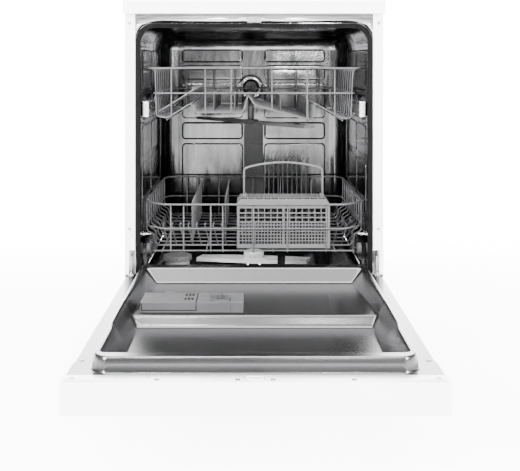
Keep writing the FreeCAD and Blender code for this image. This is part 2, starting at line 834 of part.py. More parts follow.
def make_door_screws():
    top = size.door_inner
    spots = [(285, -566), (286, -530), (284, -300), (283, -90), (140, -566)]
    heads = []
    for i, (x, y) in enumerate(spots):
        for side in (-1, 1):
            head = rod(f"door_screw_{i}_{side + 1}", (side * x, y, top), 1.5, 4, "Z")
            heads.append(head)
    keep("door_screws", group("door_screw_set", *heads))


def make_dispenser():
    left, right = size.dose_left, size.dose_right
    front, rear = size.dose_front, size.dose_rear
    top, low = size.dose_top, size.shallow_floor + 0.05
    plate = block("dose_plate", (left, right), (front, rear), (low, top))
    plate = rounded("dose_round", plate, 5, lambda p: near(p.z, top) and (near(p.x, left) or near(p.y, front)))
    well = block("dose_well_out", (left + 7, right - 7), (front + 7, rear - 7), (198, low + 1))
    powder = block("dose_powder", (-212, -132), (-228, -174), (201, top + 1))
    seat = block("dose_seat", (-221.8, -115), (-231.5, rear + 1), (top - 2.2, top + 1))
    rinse = rod("dose_rinse", (size.cap_x, size.cap_y, 203), 40, 15)
    cap_seat = rod("dose_cap_seat", (size.cap_x, size.cap_y, top - 2), 5, 20.5)
    keep("dispenser_body", cut("dose", fuse("dose_blank", plate, well), powder, seat, rinse, cap_seat))


def make_dispenser_lid():
    top = size.dose_top
    lid = block("lid_plate", (-221.5, -115.5), (-231, -171), (top - 1.9, top + 1.4))
    lid = rounded("lid_round", lid, 1.2, lambda p: near(p.z, top + 1.4))
    slots = []
    for column in range(3):
        for row in range(2):
            x, y = -140 + 7 * column, -219 + 27 * row
            slots.append(block(f"lid_slot_{column}{row}", (x, x + 4), (y, y + 11), (top + 0.4, top + 2)))
    keep("dispenser_lid", cut("lid", lid, *slots))


def make_rinse_cap():
    x, y, top = size.cap_x, size.cap_y, size.dose_top
    cap = fuse(
        "cap_blank",
        rod("cap_disc", (x, y, top - 1.7), 2.9, 20),
        rod("cap_plug", (x, y, top - 8), 7, 13),
        block("cap_grip", (x - 1.5, x + 1.5), (y - 16, y + 16), (top, top + 4)),
    )
    keep("rinse_aid_cap", cap)


def make_latch():
    house = block("latch_house", (-22, 22), (-570.8, -544.3), (196, size.door_inner))
    hump = block("latch_hump", (-13.5, 13.5), (-570.8, -559), (size.door_inner, size.door_inner + 3.5))
    slot = block("latch_slot", (-9.5, 9.5), (-568.5, -560.4), (199, size.door_inner + 5))
    keep("door_latch", cut("latch", fuse("latch_blank", house, hump), slot))


# ---------------------------------------------------------------- upper basket

# Half sections of the tray, front view: the left trough, two flat trays, the ridge over the water pipe, the right
# slope and the right trough.
TRAY = [
    (-250, 697),
    (-232, 689),
    (-230, 582),
    (-205, 577),
    (-148, 613),
    (-140, 590),
    (-27, 590),
    (-14, 632),
    (3, 606),
    (128, 573),
    (138, 575),
    (142, 613),
    (208, 575),
    (228, 577),
    (232, 689),
    (250, 697),
]
TRAY_HALF_STEP = 0.5


def tray_height(x):
    """Height of the tray's section at x."""
    for (x0, z0), (x1, z1) in zip(TRAY, TRAY[1:]):
        if x0 <= x <= x1 and x1 - x0 > TRAY_HALF_STEP:
            return z0 + (z1 - z0) * (x - x0) / (x1 - x0)
    raise ValueError(f"{x} is outside the tray")


def make_upper_basket():
    wire, rim = float(size.wire), float(size.rim_wire)
    front, rear = float(size.upper_front), float(size.upper_rear)
    top, mid = float(size.upper_rim), float(size.upper_mid)
    solids = []
    for y in spread(front + 6, rear - 6, 11):
        solids += chain([(x, y, z) for x, z in TRAY], wire)
    for x, z in TRAY[3:-3]:
        solids.append(wire_solid((x, front, z - wire), (x, rear, z - wire), wire))
    solids += chain([(-250, front, top), (250, front, top), (250, rear, top), (-250, rear, top)], rim, closed=True)
    for y in (front, rear):
        solids.append(wire_solid((-238, y, mid), (238, y, mid), wire))
    for side in (-1, 1):
        solids.append(wire_solid((side * 235.2, front, mid), (side * 235.2, rear, mid), wire))
    for x in (-195, -115, -54, 42, 125, 190):
        solids.append(wire_solid((x, front, top), (x, front, tray_height(x) - wire), wire))
        solids.append(wire_solid((x, rear, top), (x, rear, tray_height(x) - wire), wire))
    shaped("upper_basket", solids)


def make_upper_fittings():
    front, rear = size.upper_front + 14, size.upper_rear - 14
    pieces = []
    for x in (-96, -46, 63):
        low = tray_height(x) + 2.6
        fence = block(f"divider_{x + 100}", (x - 1.2, x + 1.2), (front, rear), (low, 640))
        notches = []
        for i, y in enumerate(spread(110, 440, 8)):
            notches.append(block(f"divider_notch_{x + 100}_{i}", (x - 3, x + 3), (y - 9, y + 9), (618, 641)))
        pieces.append(cut(f"divider_cut_{x + 100}", fence, *notches))
    carrier = block("carrier_plate", (236.6, 239.8), (280, 460), (574, 624))
    axles = [rod(f"carrier_axle_{y}", (239.8, y, size.rail_height), 14, 3, "X") for y in ROLLER_PLACES]
    pieces.append(both_sides("carriers", fuse("carrier", carrier, *axles)))
    keep("upper_basket_fittings", group("upper_fitting_set", *pieces))


ROLLER_PLACES = (300, 440)


def make_rollers():
    radius = size.roller_radius
    points = [(3.06, 0), (radius, 0), (radius, 4.6), (3.06, 4.6)]
    for name, y in zip(("front", "rear"), ROLLER_PLACES):
        node = f"upper_rollers_{name}"
        sides = []
        for side in (-1, 1):
            roller = turned(f"{node}_{side + 1}", points)
            place(roller, side * 249.2, y, size.rail_height, Rotation(Vector(0, 1, 0), 90 * side))
            sides.append(roller)
        keep(node, group(node + "_pair", *sides))


def make_rails():
    front, length, z = size.rail_front, size.rail_length, size.rail_height
    span = (front, front + length)
    web = block("rail_web", (255, 256.4), span, (z - 16, z + 16))
    top = block("rail_top", (248, 262), span, (z + 15.5, z + 17))
    bottom = block("rail_bottom", (248, 262), span, (z - 17, z - 15.5))
    cap = block("rail_cap", (247, 262), (front - 9, front), (z - 19, z + 19))
    stop = block("rail_stop", (248, 262), (front + length, front + length + 4), (z - 17, z + 17))
    right = fuse("rail", web, top, bottom, rounded("rail_cap_round", cap, 3, lambda p: near(p.y, front - 9)), stop)
    keep("upper_rail_right", right)
    keep("upper_rail_left", mirrored("rail_mirrored", right))


def make_cup_shelf():
    plate = block("shelf_plate", (0, 99), (88, 438), (0, 3))
    slots = []
    for i, y in enumerate(spread(100, 400, 9)):
        slots.append(block(f"shelf_slot_{i}", (16, 84), (y, y + 22), (-1, 4)))
    pivot = rod("shelf_pivot", (0, 84, 1.5), 358, 2, "Y")
    shelf = fuse("shelf_blank", cut("shelf_slotted", plate, *slots), pivot)
    item = group("shelf", shelf)
    item.Placement = FreeCAD.Placement(Vector(-224, 0, 592), Rotation(Vector(0, 1, 0), -32))
    keep("cup_shelf", item)


def make_upper_pipe():
    x, y, low, high = size.upper_hub_x, size.upper_hub_y, 592, size.port_height
    back = 497
    pieces = [
        rod("pipe_run", (x, y, low), back - y, 8.5, "Y"),
        rod("pipe_drop", (x, y, 562), low - 562, 8.5),
        rod("pipe_rise", (x, back, low), high - low, 8.5),
        rod("pipe_nozzle", (x, back, high), 10, 8.5, "Y"),
        rod("pipe_spigot", (x, y, 548), 16, 6.5),
    ]
    for i, spot in enumerate(((x, y, low), (x, back, low), (x, back, high))):
        ball = doc.addObject("Part::Sphere", f"pipe_elbow_{i}")
        bind(ball, "Radius", 8.5)
        pieces.append(place(ball, *spot))
    keep("upper_water_pipe", fuse("pipe", *pieces))


def blade(name, half, width, tip, low, high):
    """A spray arm's blade along X: widest at the hub, with slanted ends."""
    points = [
        (-half, -tip),
        (0, -width),
        (half - 10, -tip),
        (half, tip),
        (0, width),
        (10 - half, tip),
    ]
    return padded(name, "XY", low, high, points)


def nozzle_holes(name, half, low, high, radius):
    holes = []
    for i, x in enumerate(spread(-half, half, 10)):
        holes.append(rod(f"{name}_{i}", (x, 7 * (-1) ** i, low), high - low, radius))
    return holes


def make_spray_arms():
    lower = fuse(
        "lower_arm_blank",
        blade("lower_blade", 150, 26, 18, 184.4, 194),
        rod("lower_hub", (0, 0, 183.4), 16.6, 24),
    )
    bore = rod("lower_arm_bore", (0, 0, 180), 21, 10.06)
    arm = cut("lower_arm", lower, bore, *nozzle_holes("lower_nozzle", 130, 190, 200, 1.6))
    nut = turned("arm_nut", [(0, 200.6), (12, 200.6), (12, 200), (26.5, 200), (26.5, 209), (22, 212), (0, 212)])
    item = group("lower_arm_set", arm, nut)
    item.Placement = FreeCAD.Placement(Vector(0, float(size.hub_y), 0), Rotation(Vector(0, 0, 1), -6))
    keep("lower_spray_arm", item)
    upper = fuse(
        "upper_arm_blank",
        blade("upper_blade", 225, 20, 13, 549.5, 557),
        rod("upper_hub", (0, 0, 547), 13, 20),
    )
    upper_bore = rod("upper_arm_bore", (0, 0, 546), 15, 6.56)
    arm = cut("upper_arm", upper, upper_bore, *nozzle_holes("upper_nozzle", 200, 553, 560, 1.6))
    item = group("upper_arm_set", arm)
    centre = Vector(float(size.upper_hub_x), float(size.upper_hub_y), 0)
    item.Placement = FreeCAD.Placement(centre, Rotation(Vector(0, 0, 1), -50))
    keep("upper_spray_arm", item)


# ---------------------------------------------------------------- lower basket

FRONT_CORNER = 210
CHAMFER_DEPTH = 41


def loop_points(z, grow):
    """One hoop of the lower basket: chamfered corners in front, small chamfers at the rear."""
    half, front, rear = float(size.lower_half) - grow, float(size.lower_front), float(size.lower_rear)
    corner = FRONT_CORNER
    return [
        (-corner, front, z),
        (corner, front, z),
        (half, front + CHAMFER_DEPTH, z),
        (half, rear - 25, z),
        (half - 14, rear, z),
        (14 - half, rear, z),
        (-half, rear - 25, z),
        (-half, front + CHAMFER_DEPTH, z),
    ]


def make_lower_basket():
    wire, rim = float(size.wire), float(size.rim_wire)
    front, rear = float(size.lower_front), float(size.lower_rear)
    top, mid, low = float(size.lower_rim), float(size.lower_mid), float(size.lower_floor)
    solids = chain(loop_points(top, 0), rim, closed=True) + chain(loop_points(mid, 0), wire, closed=True)
    section = [(-257, top), (-257, 304), (-240, 298), (-233, low), (233, low), (240, 298), (257, 304), (257, top)]
    for y in spread(front + 55, rear - 32, 10):
        solids += chain([(x, y, z) for x, z in section], wire)
    for x in (-215, -112, -30, 45, 190):
        solids.append(wire_solid((x, front + 6, low - wire), (x, rear - 6, low - wire), wire))
    solids.append(wire_solid((-231, front, low), (231, front, low), wire))
    solids.append(wire_solid((-231, rear, low), (231, rear, low), wire))
    for x in (-194, -164, -101, -73, -1, 78, 168):
        solids.append(wire_solid((x, front, top), (x, front, low - 4), wire))
        solids.append(wire_solid((x, rear, top), (x, rear, low - 4), wire))
    solids.append(wire_solid((-231, 106, low), (231, 106, low), wire))
    for x, lean in [(20 * k - 212, -1) for k in range(8)] + [(196, 1), (216, 1)]:
        hook = [(x - 6 * lean, 106, low), (x + 7 * lean, 106, low + 48), (x + 4 * lean, 110, low + 51)]
        solids += chain(hook, wire)
    rack_y = 420.2
    for x in spread(30, 148, 10):
        solids += chain([(x, rack_y, low), (x, rack_y, 430), (x + 7, rack_y - 4, 443)], wire)
    for x, height, count in ((90, 60, 9), (160, 60, 9)):
        for y in spread(185, 425, count):
            solids.append(wire_solid((x, y, low + wire / 2), (x - 8, y, low + height), wire))
    shaped("lower_basket", solids)


def make_fold_tines():
    wire = float(size.wire)
    base = float(size.lower_floor) + 6
    for node, x, y_low, y_high, count in (
        ("fold_tines_outer", -150, 120, 456, 13),
        ("fold_tines_inner", -72, 190, 442, 10),
    ):
        solids = [wire_solid((x, y_low - 8, base), (x, y_high + 8, base), wire)]
        for y in spread(y_low, y_high, count):
            solids.append(wire_solid((x, y, base), (x, y, base + 98), wire))
        shaped(node, solids)


WHEEL_PLACES = (114.4, 440.6)


def make_lower_fittings():
    z = size.track_top + size.wheel_radius + size.gap
    pieces = []
    for i, y in enumerate(WHEEL_PLACES):
        plate = block(f"wheel_plate_{i}", (236.5, 241), (y - 15, y + 15), (z - 8, z + 34))
        axle = rod(f"wheel_axle_{i}", (241, y, z), 17, 3, "X")
        pieces.append(fuse(f"wheel_holder_{i}", plate, axle))
    keep("lower_basket_fittings", both_sides("wheel_holders", group("wheel_holders_right", *pieces)))


def make_wheels():
    radius = size.wheel_radius
    height = size.track_top + radius + size.gap
    points = [(3.06, 0), (radius - 5, 0), (radius, 1.5), (radius, 10), (3.06, 10)]
    for name, y in zip(("front", "rear"), WHEEL_PLACES):
        node = f"lower_wheels_{name}"
        pair = []
        for side in (-1, 1):
            wheel = turned(f"{node}_{side + 1}", points)
            place(wheel, side * 248.5, y, height, Rotation(Vector(0, 1, 0), 90 * side))
            pair.append(wheel)
        keep(node, group(node + "_pair", *pair))


def rectangle(x, z, width, height):
    """A closed rectangle in the XZ plane."""
    corners = [(x, z), (x + width, z), (x + width, z + height), (x, z + height), (x, z)]
    return Part.makePolygon([Vector(u, 0, v) for u, v in corners])


def lattice(width, height, columns, rows, thick, border):
    """An upright plate in the XZ plane with a grid of square holes."""
    step_x = (width - 2 * border) / columns
    step_z = (height - 2 * border) / rows
    wires = [rectangle(0, 0, width, height)]
    for i in range(columns):
        for k in range(rows):
            corner = (border + step_x * (i + 0.2), border + step_z * (k + 0.2))
            wires.append(rectangle(*corner, step_x * 0.6, step_z * 0.6))
    return Part.makeFace(wires, "Part::FaceMakerBullseye").extrude(Vector(0, thick, 0))


def level_loop(x, y, z):
    """A closed level rectangle between two x and two y."""
    corners = [(x[0], y[0]), (x[1], y[0]), (x[1], y[1]), (x[0], y[1]), (x[0], y[0])]
    return Part.makePolygon([Vector(u, v, z) for u, v in corners])


def make_cutlery_basket():
    left, right = float(size.caddy_left), float(size.caddy_right)
    front, depth = float(size.caddy_front), float(size.caddy_depth)
    low, high = float(size.caddy_bottom), float(size.caddy_top)
    wall, inset, reach, lift = 2, 8, 20, 12
    width, height, rear = right - left, high - low, front + depth
    solids = []
    for y in (front, front + depth / 2 - 1, rear - wall):
        panel = lattice(width, height - wall, 14, 6, wall, 9)
        panel.translate(Vector(left, y, low + wall))
        solids.append(panel)
    for x in (left, (left + right) / 2 - 1, right - wall):
        for y in (front + wall, front + depth / 2 + 1):
            panel = lattice(depth / 2 - 1 - wall, height - wall, 3, 6, wall, 7)
            panel.rotate(Vector(), Vector(0, 0, 1), 90)
            panel.translate(Vector(x + wall, y, low + wall))
            solids.append(panel)
    bottom = lattice(width, depth, 14, 6, wall, 5)
    bottom.rotate(Vector(), Vector(1, 0, 0), -90)
    bottom.translate(Vector(left, front, low + wall))
    solids.append(bottom)
    brow_x, brow_y = (left + inset, right - inset), (front + reach, rear - reach / 2)
    for x in spread(brow_x[0] + wall, brow_x[1] - wall, 12):
        solids.append(Part.makeBox(wall, brow_y[1] - brow_y[0], wall, Vector(x - wall / 2, brow_y[0], high + lift - wall)))
    for y in spread(brow_y[0] + wall, brow_y[1] - wall, 4):
        solids.append(Part.makeBox(brow_x[1] - brow_x[0], wall, wall, Vector(brow_x[0], y - wall / 2, high + lift - wall)))
    skins = []
    for grow in (0, wall):
        foot = level_loop((left + grow, right - grow), (front + grow, rear - grow), high - 0.01 * grow)
        brow = level_loop(
            (brow_x[0] + grow, brow_x[1] - grow), (brow_y[0] + grow, brow_y[1] - grow), high + lift - wall + 0.01 * grow
        )
        skins.append(Part.makeLoft([foot, brow], True))
    collar = skins[0].cut(skins[1])
    corners = [(left, front), (right, front), (right, rear), (left, rear)]
    inner_x, inner_y = (left + 2 * inset, right - 2 * inset), (front + 2 * reach, rear - reach)
    inners = [(inner_x[0], inner_y[0]), (inner_x[1], inner_y[0]), (inner_x[1], inner_y[1]), (inner_x[0], inner_y[1])]
    for k in range(4):
        n = (k + 1) % 4
        plan = [corners[k], corners[n], inners[n], inners[k], corners[k]]
        side = Part.Face(Part.makePolygon([Vector(x, y, high - 1) for x, y in plan]))
        solids += collar.common(side.extrude(Vector(0, 0, lift + 2))).Solids
    middle = front + depth / 2
    for x in (left + 17 + 2.8, right - 13 - 2.8 - 3):
        solids.append(Part.makeBox(3, 9, 9, Vector(x, middle - 4.5, high + lift)))
    shaped("cutlery_basket", solids)


def make_cutlery_handle():
    left, right = float(size.caddy_left) + 17, float(size.caddy_right) - 13
    y = float(size.caddy_front + size.caddy_depth / 2)
    low, shoulder, apex = float(size.caddy_top) + 15, 454, 469
    middle = (left + right) / 2
    arc = [(left, y, low), (left, y, shoulder), ((left + middle) / 2, y, apex - 4), (middle, y, apex)]
    arc += [((right + middle) / 2, y, apex - 4), (right, y, shoulder), (right, y, low)]
    pins = [wire_solid((x - 2.5, y, low), (x + 2.5, y, low), 5) for x in (left, right)]
    shaped("cutlery_handle", chain(arc, 5) + pins)


def make_filter():
    floor = size.floor_low
    points = [
        (0, 112),
        (38, 112),
        (38, floor + 0.4),
        (42.8, floor + 0.4),
        (42.8, floor + 3),
        (17, floor + 3),
        (17, floor + 4.5),
        (10, floor + 7.5),
        (9.2, 240),
        (0, 240),
    ]
    part = turned("filter_body", points)
    place(part, size.filter_x, size.filter_y, 0)
    keep("filter_cylinder", part)


def ring_spots(radius, count):
    """Points evenly round a circle."""
    arm = Vector(radius, 0, 0)
    return [Rotation(Vector(0, 0, 1), 360 * i / count).multVec(arm) for i in range(count)]


def make_salt_cap():
    cap = turned("salt_cap_body", [(0, 203), (25.5, 203), (25.5, 211.4), (37, 211.4), (37, 219), (33, 222), (0, 222)])
    grips = [rod(f"salt_grip_{i}", (spot.x, spot.y, 214), 12, 5.5) for i, spot in enumerate(ring_spots(39, 8))]
    item = group("salt_cap_set", cut("salt_cap_cut", cap, *grips))
    keep("salt_cap", place(item, size.salt_x, size.salt_y, 0))


# ---------------------------------------------------------------- build, check and write

MAKERS = [
    make_worktop,
    make_side_panels,
    make_cabinet_screws,
    make_rear_panel,
    make_base_pan,
    make_feet,
    make_kick_plate,
    make_front_frame,
    make_door_gasket,
    make_tub_wrapper,
    make_tub_back,
    make_tub_floor,
    make_sump,
    make_pump,
    make_softener_tank,
    make_inlet_valve,
    make_mains_gland,
    make_feed_duct,
    make_rail_brackets,
    make_tracks,
    make_striker,
    make_hinge_brackets,
    make_door_springs,
    make_door_skin,
    make_control_panel,
    make_buttons,
    make_door_liner,
    make_insulation,
    make_hinge_arms,
    make_door_screws,
    make_dispenser,
    make_dispenser_lid,
    make_rinse_cap,
    make_latch,
    make_upper_basket,
    make_upper_fittings,
    make_rollers,
    make_rails,
    make_cup_shelf,
    make_upper_pipe,
    make_spray_arms,
    make_lower_basket,
    make_fold_tines,
    make_lower_fittings,
    make_wheels,
    make_cutlery_basket,
    make_cutlery_handle,
    make_filter,
    make_salt_cap,
]

for maker in MAKERS:
    maker()
doc.recompute()

failed = [item.Name for item in doc.Objects if "Invalid" in item.State or "Error" in item.State]
if failed:
    raise RuntimeError(f"objects that did not recompute: {failed}")

for node, item in sorted(nodes.items()):
    shape = item.Shape
    if shape.isNull() or not shape.isValid() or shape.Volume <= 0:
        raise RuntimeError(f"{node} has no sound shape")
    shape.exportStep(f"parts/{node}.step")
    print(f"{node:24s} {len(shape.Solids):4d} solids {shape.Volume / 1000:10.1f} cm3")
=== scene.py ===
import json
import math
import random

import bmesh
import bpy
import numpy as np
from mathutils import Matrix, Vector


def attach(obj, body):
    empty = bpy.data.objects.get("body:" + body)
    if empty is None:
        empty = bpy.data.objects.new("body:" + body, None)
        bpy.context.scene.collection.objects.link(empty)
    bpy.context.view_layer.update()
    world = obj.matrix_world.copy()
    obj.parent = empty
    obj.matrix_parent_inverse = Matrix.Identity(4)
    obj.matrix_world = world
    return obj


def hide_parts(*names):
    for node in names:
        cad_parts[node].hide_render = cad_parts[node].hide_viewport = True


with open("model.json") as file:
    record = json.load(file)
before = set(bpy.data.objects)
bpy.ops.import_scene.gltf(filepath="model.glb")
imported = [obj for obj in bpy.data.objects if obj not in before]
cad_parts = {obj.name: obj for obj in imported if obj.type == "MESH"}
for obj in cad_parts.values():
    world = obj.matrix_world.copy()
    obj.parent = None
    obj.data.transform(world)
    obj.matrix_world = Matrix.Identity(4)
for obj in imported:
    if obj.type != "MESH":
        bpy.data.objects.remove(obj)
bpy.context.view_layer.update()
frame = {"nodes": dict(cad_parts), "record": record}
rng = random.Random(7)
MM = 0.001


# ---------------------------------------------------------------- materials

def mapped(nodes, links, stretch=(1, 1, 1)):
    """Object coordinates in metres, stretched per axis."""
    coords = nodes.new("ShaderNodeTexCoord")
    mapping = nodes.new("ShaderNodeMapping")
    mapping.inputs["Scale"].default_value = stretch
    links.new(coords.outputs["Object"], mapping.inputs["Vector"])
    return mapping.outputs["Vector"]


def noise(nodes, links, vector, scale, detail=3.0):
    item = nodes.new("ShaderNodeTexNoise")
    item.inputs["Scale"].default_value = scale
    item.inputs["Detail"].default_value = detail
    links.new(vector, item.inputs["Vector"])
    return item.outputs["Fac"]


def ramp(nodes, links, source, low, high):
    """Maps 0..1 noise to a narrow range of grey."""
    item = nodes.new("ShaderNodeMapRange")
    item.inputs["From Min"].default_value = 0.3
    item.inputs["From Max"].default_value = 0.7
    item.inputs["To Min"].default_value = low
    item.inputs["To Max"].default_value = high
    links.new(source, item.inputs["Value"])
    return item.outputs["Result"]


def tinted(nodes, links, source, low, high):
    item = nodes.new("ShaderNodeMix")
    item.data_type = "RGBA"
    item.inputs["A"].default_value = (*low, 1)
    item.inputs["B"].default_value = (*high, 1)
    links.new(source, item.inputs["Factor"])
    return item.outputs["Result"]


def bumped(nodes, links, layers):
    """Bump nodes in a row, one for each (height, distance, strength)."""
    normal = None
    for height, distance, strength in layers:
        item = nodes.new("ShaderNodeBump")
        item.inputs["Distance"].default_value = distance
        item.inputs["Strength"].default_value = strength
        links.new(height, item.inputs["Height"])
        if normal is not None:
            links.new(normal, item.inputs["Normal"])
        normal = item.outputs["Normal"]
    return normal


def surface(name, low, high, rough, metal=0.0, coat=0.0, grain=(), stretch=(1, 1, 1), patch=9.0, spec=0.5):
    """A principled material: two tones mixed in soft patches, uneven roughness and layered bump."""
    made = bpy.data.materials.new(name)
    made.use_nodes = True
    nodes, links = made.node_tree.nodes, made.node_tree.links
    shader = nodes["Principled BSDF"]
    shader.inputs["Metallic"].default_value = metal
    shader.inputs["Coat Weight"].default_value = coat
    shader.inputs["Coat Roughness"].default_value = 0.08
    shader.inputs["Specular IOR Level"].default_value = spec
    vector = mapped(nodes, links, stretch)
    soft = ramp(nodes, links, noise(nodes, links, vector, patch), 0.0, 1.0)
    links.new(tinted(nodes, links, soft, low, high), shader.inputs["Base Color"])
    fine = noise(nodes, links, vector, patch * 7, 5.0)
    links.new(ramp(nodes, links, fine, *rough), shader.inputs["Roughness"])
    layers = [(noise(nodes, links, vector, scale, 4.0), depth, strength) for scale, depth, strength in grain]
    if layers:
        links.new(bumped(nodes, links, layers), shader.inputs["Normal"])
    return made


def paint_shade_by_height(made, heights, shades):
    """Paints shade into a material's tone: multiplies it by a factor that rises with height, from the first
    shade up to the second, so it is darker towards the bottom.
    """
    nodes, links = made.node_tree.nodes, made.node_tree.links
    socket = nodes["Principled BSDF"].inputs["Base Color"]
    coords = nodes.new("ShaderNodeTexCoord")
    parts = nodes.new("ShaderNodeSeparateXYZ")
    links.new(coords.outputs["Object"], parts.inputs["Vector"])
    rise = nodes.new("ShaderNodeMapRange")
    rise.inputs["From Min"].default_value, rise.inputs["From Max"].default_value = heights
    rise.inputs["To Min"].default_value, rise.inputs["To Max"].default_value = shades
    links.new(parts.outputs["Z"], rise.inputs["Value"])
    blend = nodes.new("ShaderNodeMix")
    blend.data_type = "RGBA"
    blend.blend_type = "MULTIPLY"
    blend.inputs["Factor"].default_value = 1.0
    links.new(socket.links[0].from_socket, blend.inputs["A"])
    links.new(rise.outputs["Result"], blend.inputs["B"])
    links.new(blend.outputs["Result"], socket)
    return made


PEEL = ((700.0, 0.00012, 0.25),)
MOULDED = ((1400.0, 0.0001, 0.35), (90.0, 0.0003, 0.12))
MATERIALS = {
    "white_laminate": surface("laminate", (0.86, 0.86, 0.86), (0.9, 0.9, 0.9), (0.3, 0.42), grain=PEEL),
    "white_enamel": surface(
        "enamel", (0.84, 0.84, 0.84), (0.89, 0.89, 0.89), (0.2, 0.3), coat=0.4, grain=PEEL,
    ),
    "white_trim": surface("trim", (0.85, 0.85, 0.85), (0.9, 0.9, 0.9), (0.26, 0.36), coat=0.2, grain=MOULDED),
    "tub_steel": surface(
        "tub_steel",
        (0.15, 0.15, 0.153),
        (0.33, 0.33, 0.334),
        (0.06, 0.14),
        metal=1.0,
        grain=((5.0, 0.012, 0.35), (22.0, 0.002, 0.3), (420.0, 0.00012, 0.3)),
        stretch=(1, 1, 0.35),
    ),
    "liner_steel": surface(
        "liner_steel",
        (0.085, 0.085, 0.087),
        (0.1, 0.1, 0.102),
        (0.24, 0.27),
        metal=1.0,
        grain=((700.0, 0.00003, 0.05),),
        stretch=(0.5, 1, 1),
        patch=3.0,
    ),
    "zinc_steel": surface(
        "zinc", (0.22, 0.22, 0.22), (0.34, 0.34, 0.34), (0.28, 0.42), metal=1.0,
        grain=((160.0, 0.0003, 0.3),), patch=60.0,
    ),
    "chrome_screw": surface(
        "screw", (0.3, 0.3, 0.3), (0.42, 0.42, 0.42), (0.14, 0.24), metal=1.0, grain=((300.0, 0.0002, 0.2),)
    ),
    "seal_rubber": surface(
        "rubber", (0.0015, 0.0015, 0.0015), (0.004, 0.004, 0.004), (0.7, 0.85),
        grain=((500.0, 0.0003, 0.5),), patch=40.0, spec=0.06,
    ),
    "grey_wire": surface(
        "wire_coat", (0.05, 0.05, 0.052), (0.075, 0.075, 0.077), (0.26, 0.38), coat=0.05,
        grain=((260.0, 0.0002, 0.3),), patch=30.0, spec=0.3,
    ),
    "grey_plastic": surface(
        "grey_plastic", (0.03, 0.03, 0.031), (0.045, 0.045, 0.046), (0.36, 0.5), grain=MOULDED, spec=0.25,
    ),
    "light_plastic": surface(
        "light_plastic", (0.08, 0.08, 0.082), (0.1, 0.1, 0.102), (0.34, 0.48), grain=MOULDED, spec=0.25,
    ),
    "dispenser_grey": surface(
        "dispenser", (0.06, 0.06, 0.062), (0.072, 0.072, 0.074), (0.34, 0.46), grain=MOULDED, spec=0.25,
    ),
    "cap_blue": surface(
        "rinse_cap", (0.04, 0.041, 0.043), (0.05, 0.051, 0.054), (0.3, 0.42), grain=MOULDED, spec=0.25,
    ),
    "arm_steel": surface(
        "arm_steel",
        (0.7, 0.7, 0.705),
        (0.85, 0.85, 0.855),
        (0.2, 0.3),
        metal=1.0,
        grain=((300.0, 0.0001, 0.4),),
        stretch=(0.2, 1, 1),
    ),
    "dark_plastic": surface(
        "dark_plastic", (0.005, 0.005, 0.005), (0.012, 0.012, 0.012), (0.4, 0.55), grain=MOULDED, spec=0.1,
    ),
    "base_plastic": surface(
        "base_plastic", (0.05, 0.05, 0.052), (0.08, 0.08, 0.083), (0.5, 0.65), grain=MOULDED,
    ),
    "pump_housing": surface(
        "pump_shell", (0.07, 0.07, 0.072), (0.11, 0.11, 0.113), (0.45, 0.6), grain=MOULDED,
    ),
    "felt": surface(
        "felt", (0.02, 0.02, 0.02), (0.06, 0.06, 0.058), (0.85, 0.97), grain=((900.0, 0.0008, 0.8),),
    ),
    "spring_steel": surface(
        "spring", (0.3, 0.3, 0.3), (0.42, 0.42, 0.42), (0.26, 0.4), metal=1.0, grain=PEEL,
    ),
    "salt_plastic": surface(
        "salt_plastic", (0.3, 0.295, 0.28), (0.36, 0.355, 0.34), (0.4, 0.55), grain=MOULDED,
    ),
}
# A darker copy of the tub steel for the back wall and floor, dimmed further towards the bottom: painted shade
# of the lower tub.
BACK_STEEL_PAINTED_SHADE = surface(
    "back_steel_painted_shade",
    (0.08, 0.08, 0.082),
    (0.26, 0.26, 0.264),
    (0.1, 0.2),
    metal=1.0,
    grain=((6.0, 0.012, 0.35), (420.0, 0.00012, 0.3)),
    stretch=(1, 1, 0.25),
)
paint_shade_by_height(BACK_STEEL_PAINTED_SHADE, (0.26, 0.7), (0.16, 1.0))
# A whiter, less metallic copy of arm_steel for the lower spray arm: painted sheen standing in for the bright
# reflection it shows, since little light reaches it.
ARM_PAINTED_SHEEN = surface("arm_painted_sheen", (0.8, 0.8, 0.8), (0.9, 0.9, 0.9), (0.35, 0.5), metal=0.35, grain=PEEL)
NODE_SLOT = {row["node"]: row["material_slot"] for row in frame["record"]["subparts"]}
for node, item in frame["nodes"].items():
    item.data.materials.clear()
    # tub_back and tub_floor take the steel with painted shade towards the bottom; lower_spray_arm takes the
    # copy with painted sheen.
    painted_light_swaps = {"tub_back": BACK_STEEL_PAINTED_SHADE, "tub_floor": BACK_STEEL_PAINTED_SHADE, "lower_spray_arm": ARM_PAINTED_SHEEN}
    item.data.materials.append(painted_light_swaps.get(node, MATERIALS[NODE_SLOT[node]]))


# ---------------------------------------------------------------- mesh building, in millimetres

